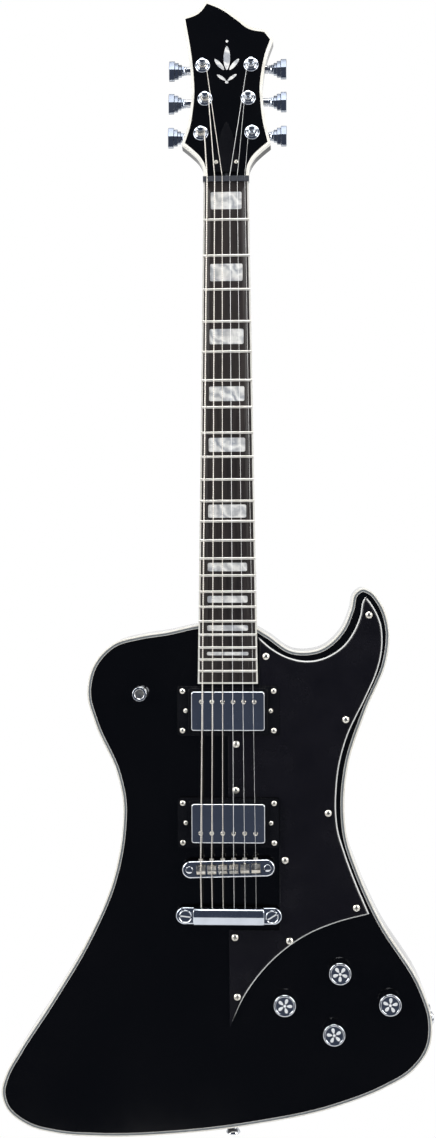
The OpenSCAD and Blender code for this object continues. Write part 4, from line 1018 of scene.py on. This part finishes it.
def make_buttons():
    """Buttons stepped like a stair, each step ridged along its middle, on a banded collar and shaft."""
    steps = [(42.9, 45.3, 8.8, 6.2), (45.3, 48.4, 12.6, 6.9), (48.4, 52.2, 17.0, 7.6), (52.2, 57.85, 21.0, 8.2)]
    for i in range(6):
        side = tuner_side(i)
        x0, s = tuner_place(i)
        parts = []
        for a, b, h, t in steps:
            fall = math.tan(math.radians(13)) * 0.42 * h
            half = [(-t / 2, 0.0), (-t / 2 + fall, 0.42 * h), (-t / 2 + fall + 0.5, 0.48 * h),
                    (-0.12 * t, 0.5 * h)]
            ring = half + [(-y, z) for y, z in half[::-1]]
            ring += [(-y, -z) for y, z in half[1:]] + [(y, -z) for y, z in half[:0:-1]]
            rows = []
            for x, grow in ((a - 0.05, 0.93), (a + 0.3, 1.0), (b - 0.35, 1.0), (b, 0.93)):
                rows.append([(side * x, y * grow, z * grow) for y, z in ring])
            n = len(ring)
            faces = [(j * n + k, j * n + (k + 1) % n, (j + 1) * n + (k + 1) % n, (j + 1) * n + k)
                     for j in range(len(rows) - 1) for k in range(n)]
            # faces on the upper side of each step take the darker chrome, as painted shade
            upper_painted_shade = [1 if max(ring[f[0] % n][1], ring[f[1] % n][1]) > 0.3 else 0 for f in faces]
            faces += [tuple(range(n))[::-1], tuple((len(rows) - 1) * n + k for k in range(n))]
            parts.append(([v for row in rows for v in row], faces, upper_painted_shade + [0, 0]))
        along = Matrix.Rotation(math.radians(90 * side), 4, "Z")
        shaft = [(2.15, abs(x0) - 2.8), (2.15, 38.2), (3.0, 38.3), (3.2, 38.6), (3.2, 39.6), (2.9, 39.9), (2.9, 40.3),
                 (4.0, 40.6), (4.2, 41.0), (4.2, 42.4), (3.9, 42.95)]
        parts.append(moved(lathe(shaft, 28), along))
        verts, faces, mats = join(parts)
        piece("tuner_%d_stepped_button" % (i + 1), verts, faces, [SOFT_CHROME, PAINTED_SHADE_CHROME],
              "tuner_%d_button" % (i + 1), ON_HEAD @ at(0, HEAD_T + 6, s + 6.5), "satin_chrome",
              ("tuner_button_%d" % (i + 1),), mats, smooth=24)


def make_screws():
    spots = [((x, TOP_Y - GUARD_T, z), (0, 0, 0), 0.9 * k) for k, (x, z) in enumerate(GUARD_SCREWS)]
    repeated("pickguard_screw_set", screw_head(3.2, 1.7, 1.3, 9), spots, SCREW_METAL,
             stands_for=("pickguard_screws",))
    corners, heights = [], []
    for z, h in ((NECK_PICKUP_Z, 5), (BRIDGE_PICKUP_Z, 8.5)):
        y = TOP_Y - h + 1.6
        for sx in (-1, 1):
            heights.append(((sx * 40.4, y, z), (0, 0, 0), 0.5 + sx))
            corners += [((sx * 43.4, y, z + sz * 18.8), (0, 0, 0), 1.3 * sx + sz) for sz in (-1, 1)]
    repeated("pickup_ring_screw_set", screw_head(2.5, 1.3, 1.0, 8), corners, SCREW_METAL,
             stands_for=("pickup_ring_screws",))
    repeated("pickup_height_screw_set", screw_head(2.1, 1.2, 1.3, 8), heights, SCREW_METAL,
             stands_for=("pickup_height_screws",))


def make_ornament():
    """Plain pearl sprig let into the headstock's face: one long leaf, four small ones and two beads."""
    def leaf(c, length, width, turn):
        pts = []
        for q in range(20):
            t = 2 * math.pi * q / 20
            x, z = width / 2 * math.sin(t) * abs(math.sin(t)) ** 0.35, length / 2 * math.cos(t)
            a = math.radians(turn)
            pts.append(Vector((c[0] + x * math.cos(a) + z * math.sin(a),
                               c[1] - x * math.sin(a) + z * math.cos(a))))
        return pts
    shapes = [leaf((0, 126), 26, 6.4, 0), leaf((-7.2, 119), 15, 4.2, -38), leaf((7.2, 119), 15, 4.2, 38),
              leaf((-5.2, 105), 11, 3.2, -52), leaf((5.2, 105), 11, 3.2, 52),
              ellipse((0, 144), (1.3, 1.3), 20), ellipse((0, 100), (1.6, 1.6), 20)]
    verts, faces, _ = join([tower([(q, 0.4), (q, -0.03)]) for q in shapes])
    piece("headstock_pearl_sprig", verts, faces, PEARL, place=ON_HEAD, slot="pearl_blocks")


def make_side_dots():
    spots = []
    for n in (3, 5, 7, 9, 12, 12, 15, 17, 19, 21):
        z = (fret_z(n) + fret_z(n - 1)) / 2
        if n == 12:
            z += 4 if len(spots) == 4 else -4
        x = -board_half(z) + 0.06
        p = ON_NECK @ Vector((x, 3.4, z))
        spots.append((p, (0, 0, math.radians(-90)), 0.0))
    dot = cutter(*lathe([(1.05, -0.6), (1.05, 0.02), (0.9, 0.1)], 18))
    repeated("side_dots", smooth_shade(dot), spots, DARK_LINE)


make_body()
make_strings()
make_guard()
make_knobs()
make_frets()
make_pickups()
make_bridge()
make_tailpiece()
make_tuners()
make_buttons()
make_screws()
make_ornament()
make_side_dots()

# ---- the CAD shapes whose edges only need rounding ----
for node, mat, width in (
        ("neck", NECK_LACQUER, 1.2), ("fingerboard", BOARD_WOOD, 0), ("fingerboard_binding", WHITE_SIDE, 0.35),
        ("inlays", PEARL, 0), ("nut", NUT_BONE, 0.5),
        ("headstock_veneer", VENEER, 0.1), ("headstock_binding", CREAM, 0.4),
        ("truss_rod_cover", RING_PLASTIC, 0.3),
        ("headstock_screws", SCREW_METAL, 0.15), ("tuner_housings", CHROME, 1.2),
        ("neck_pickup_ring", RING_PLASTIC, 1.0), ("bridge_pickup_ring", RING_PLASTIC, 1.0),
        ("saddles", SADDLE_METAL, 0.2), ("intonation_screws", SCREW_METAL, 0.3),
        ("control_cover", COVER_PLASTIC, 0.4), ("control_cover_screws", BLACK_SCREW, 0.2),
        ("output_jack", CHROME, 0.4), ("jack_plate", CHROME, 0.5),
        ("strap_buttons", CHROME, 0.6), ("strap_screws", SCREW_METAL, 0.2)):
    refine(node, mat, width)

# ---- CAD nodes that stay as they are ----
for node, mat in (("truss_rod", STEEL), ("threaded_inserts", BRASS), ("pots", STEEL),
                  ("neck_pickup_coils", COIL_PLASTIC), ("bridge_pickup_coils", COIL_PLASTIC)):
    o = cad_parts[node]
    for s in o.material_slots:
        s.material = mat
    if not o.material_slots:
        o.data.materials.append(mat)


# ---- floor, light and camera ----
def studio():
    scene = bpy.context.scene
    floor_mat = Finish("pale_floor", (0.86, 0.86, 0.86), 0.6)
    floor_mat.roughness(floor_mat.spread(floor_mat.noise(3), 0.5, 0.7))
    bpy.ops.mesh.primitive_plane_add(size=1, location=(0, -0.03, -1.4))
    floor = bpy.context.object
    floor.name = "floor"
    floor.scale = (4.0, 2.3, 1)
    bpy.ops.object.transform_apply(location=False, rotation=False, scale=True)
    floor.data.materials.append(floor_mat.mat)

    world = bpy.data.worlds.new("soft_studio")
    scene.world = world
    world.use_nodes = True
    t = world.node_tree
    t.nodes.clear()
    link = t.links.new
    coord = t.nodes.new("ShaderNodeTexCoord")
    split = t.nodes.new("ShaderNodeSeparateXYZ")
    link(coord.outputs["Generated"], split.inputs[0])
    # bright banks at the sides, behind, above and below; slate dusk to the front and between them
    def bank(axis, both, lo, hi, strength):
        value = split.outputs[axis]
        if both:
            flip = t.nodes.new("ShaderNodeMath")
            flip.operation = "ABSOLUTE"
            link(value, flip.inputs[0])
            value = flip.outputs[0]
        edge = t.nodes.new("ShaderNodeMapRange")
        edge.interpolation_type = "SMOOTHSTEP"
        edge.inputs["From Min"].default_value = lo
        edge.inputs["From Max"].default_value = hi
        edge.inputs["To Max"].default_value = strength
        link(value, edge.inputs["Value"])
        return edge.outputs["Result"]

    def brightest(a, b):
        m = t.nodes.new("ShaderNodeMath")
        m.operation = "MAXIMUM"
        link(a, m.inputs[0])
        link(b, m.inputs[1])
        return m.outputs[0]

    banks = brightest(brightest(bank("X", True, 0.60, 0.86, 1.0), bank("Y", False, 0.62, 0.88, 1.0)),
                      bank("Z", False, 0.80, 0.93, 1.0))
    back_half = brightest(bank("Y", False, -0.2, 0.5, 0.16), bank("Z", False, -0.44, -0.78, 0.34))
    glow = brightest(banks, back_half)
    tone = t.nodes.new("ShaderNodeMix")
    tone.data_type = "RGBA"
    tone.inputs[6].default_value = (0.052, 0.063, 0.092, 1)
    tone.inputs[7].default_value = (1.0, 1.0, 1.0, 1)
    link(glow, tone.inputs[0])
    seen = t.nodes.new("ShaderNodeBackground")
    seen.inputs["Color"].default_value = (1, 1, 1, 1)
    seen.inputs["Strength"].default_value = 1.0
    lit = t.nodes.new("ShaderNodeBackground")
    link(tone.outputs[2], lit.inputs["Color"])
    lit.inputs["Strength"].default_value = 1.0
    path = t.nodes.new("ShaderNodeLightPath")
    mix = t.nodes.new("ShaderNodeMixShader")
    link(path.outputs["Is Camera Ray"], mix.inputs["Fac"])
    link(lit.outputs[0], mix.inputs[1])
    link(seen.outputs[0], mix.inputs[2])
    out = t.nodes.new("ShaderNodeOutputWorld")
    link(mix.outputs[0], out.inputs["Surface"])

    def soft_light(name, at, size, power):
        data = bpy.data.lights.new(name, "AREA")
        data.shape = "RECTANGLE"
        data.size, data.size_y = size
        data.energy = power
        o = bpy.data.objects.new(name, data)
        scene.collection.objects.link(o)
        o.location = at
        o.rotation_euler = (Vector((0, 0, -0.4)) - Vector(at)).to_track_quat("-Z", "Y").to_euler()

    soft_light("left_softbox", (-1.5, -1.1, 0.3), (0.7, 1.6), 26)
    soft_light("right_softbox", (1.5, -1.1, 0.2), (0.7, 1.6), 22)
    soft_light("top_softbox", (0.0, -0.55, 1.5), (1.6, 0.6), 20)

    cam = bpy.data.cameras.new("camera")
    cam.lens = 1492.3 / 1138 * 36
    cam.sensor_width = 36
    cam.clip_start, cam.clip_end = 0.01, 50
    o = bpy.data.objects.new("camera", cam)
    scene.collection.objects.link(o)
    yaw, pitch, roll = -0.05, -0.0174, -0.0051
    fwd = Vector((math.sin(yaw) * math.cos(pitch), math.cos(yaw) * math.cos(pitch), math.sin(pitch)))
    right = fwd.cross(Vector((0, 0, 1))).normalized()
    up = right.cross(fwd)
    r2 = math.cos(roll) * right + math.sin(roll) * up
    u2 = -math.sin(roll) * right + math.cos(roll) * up
    o.matrix_world = Matrix((
        (r2.x, u2.x, -fwd.x, CAMERA_AT[0]), (r2.y, u2.y, -fwd.y, CAMERA_AT[1]),
        (r2.z, u2.z, -fwd.z, CAMERA_AT[2]), (0, 0, 0, 1)))
    scene.camera = o
    scene.view_settings.view_transform = "Standard"
    scene.view_settings.look = "None"


studio()
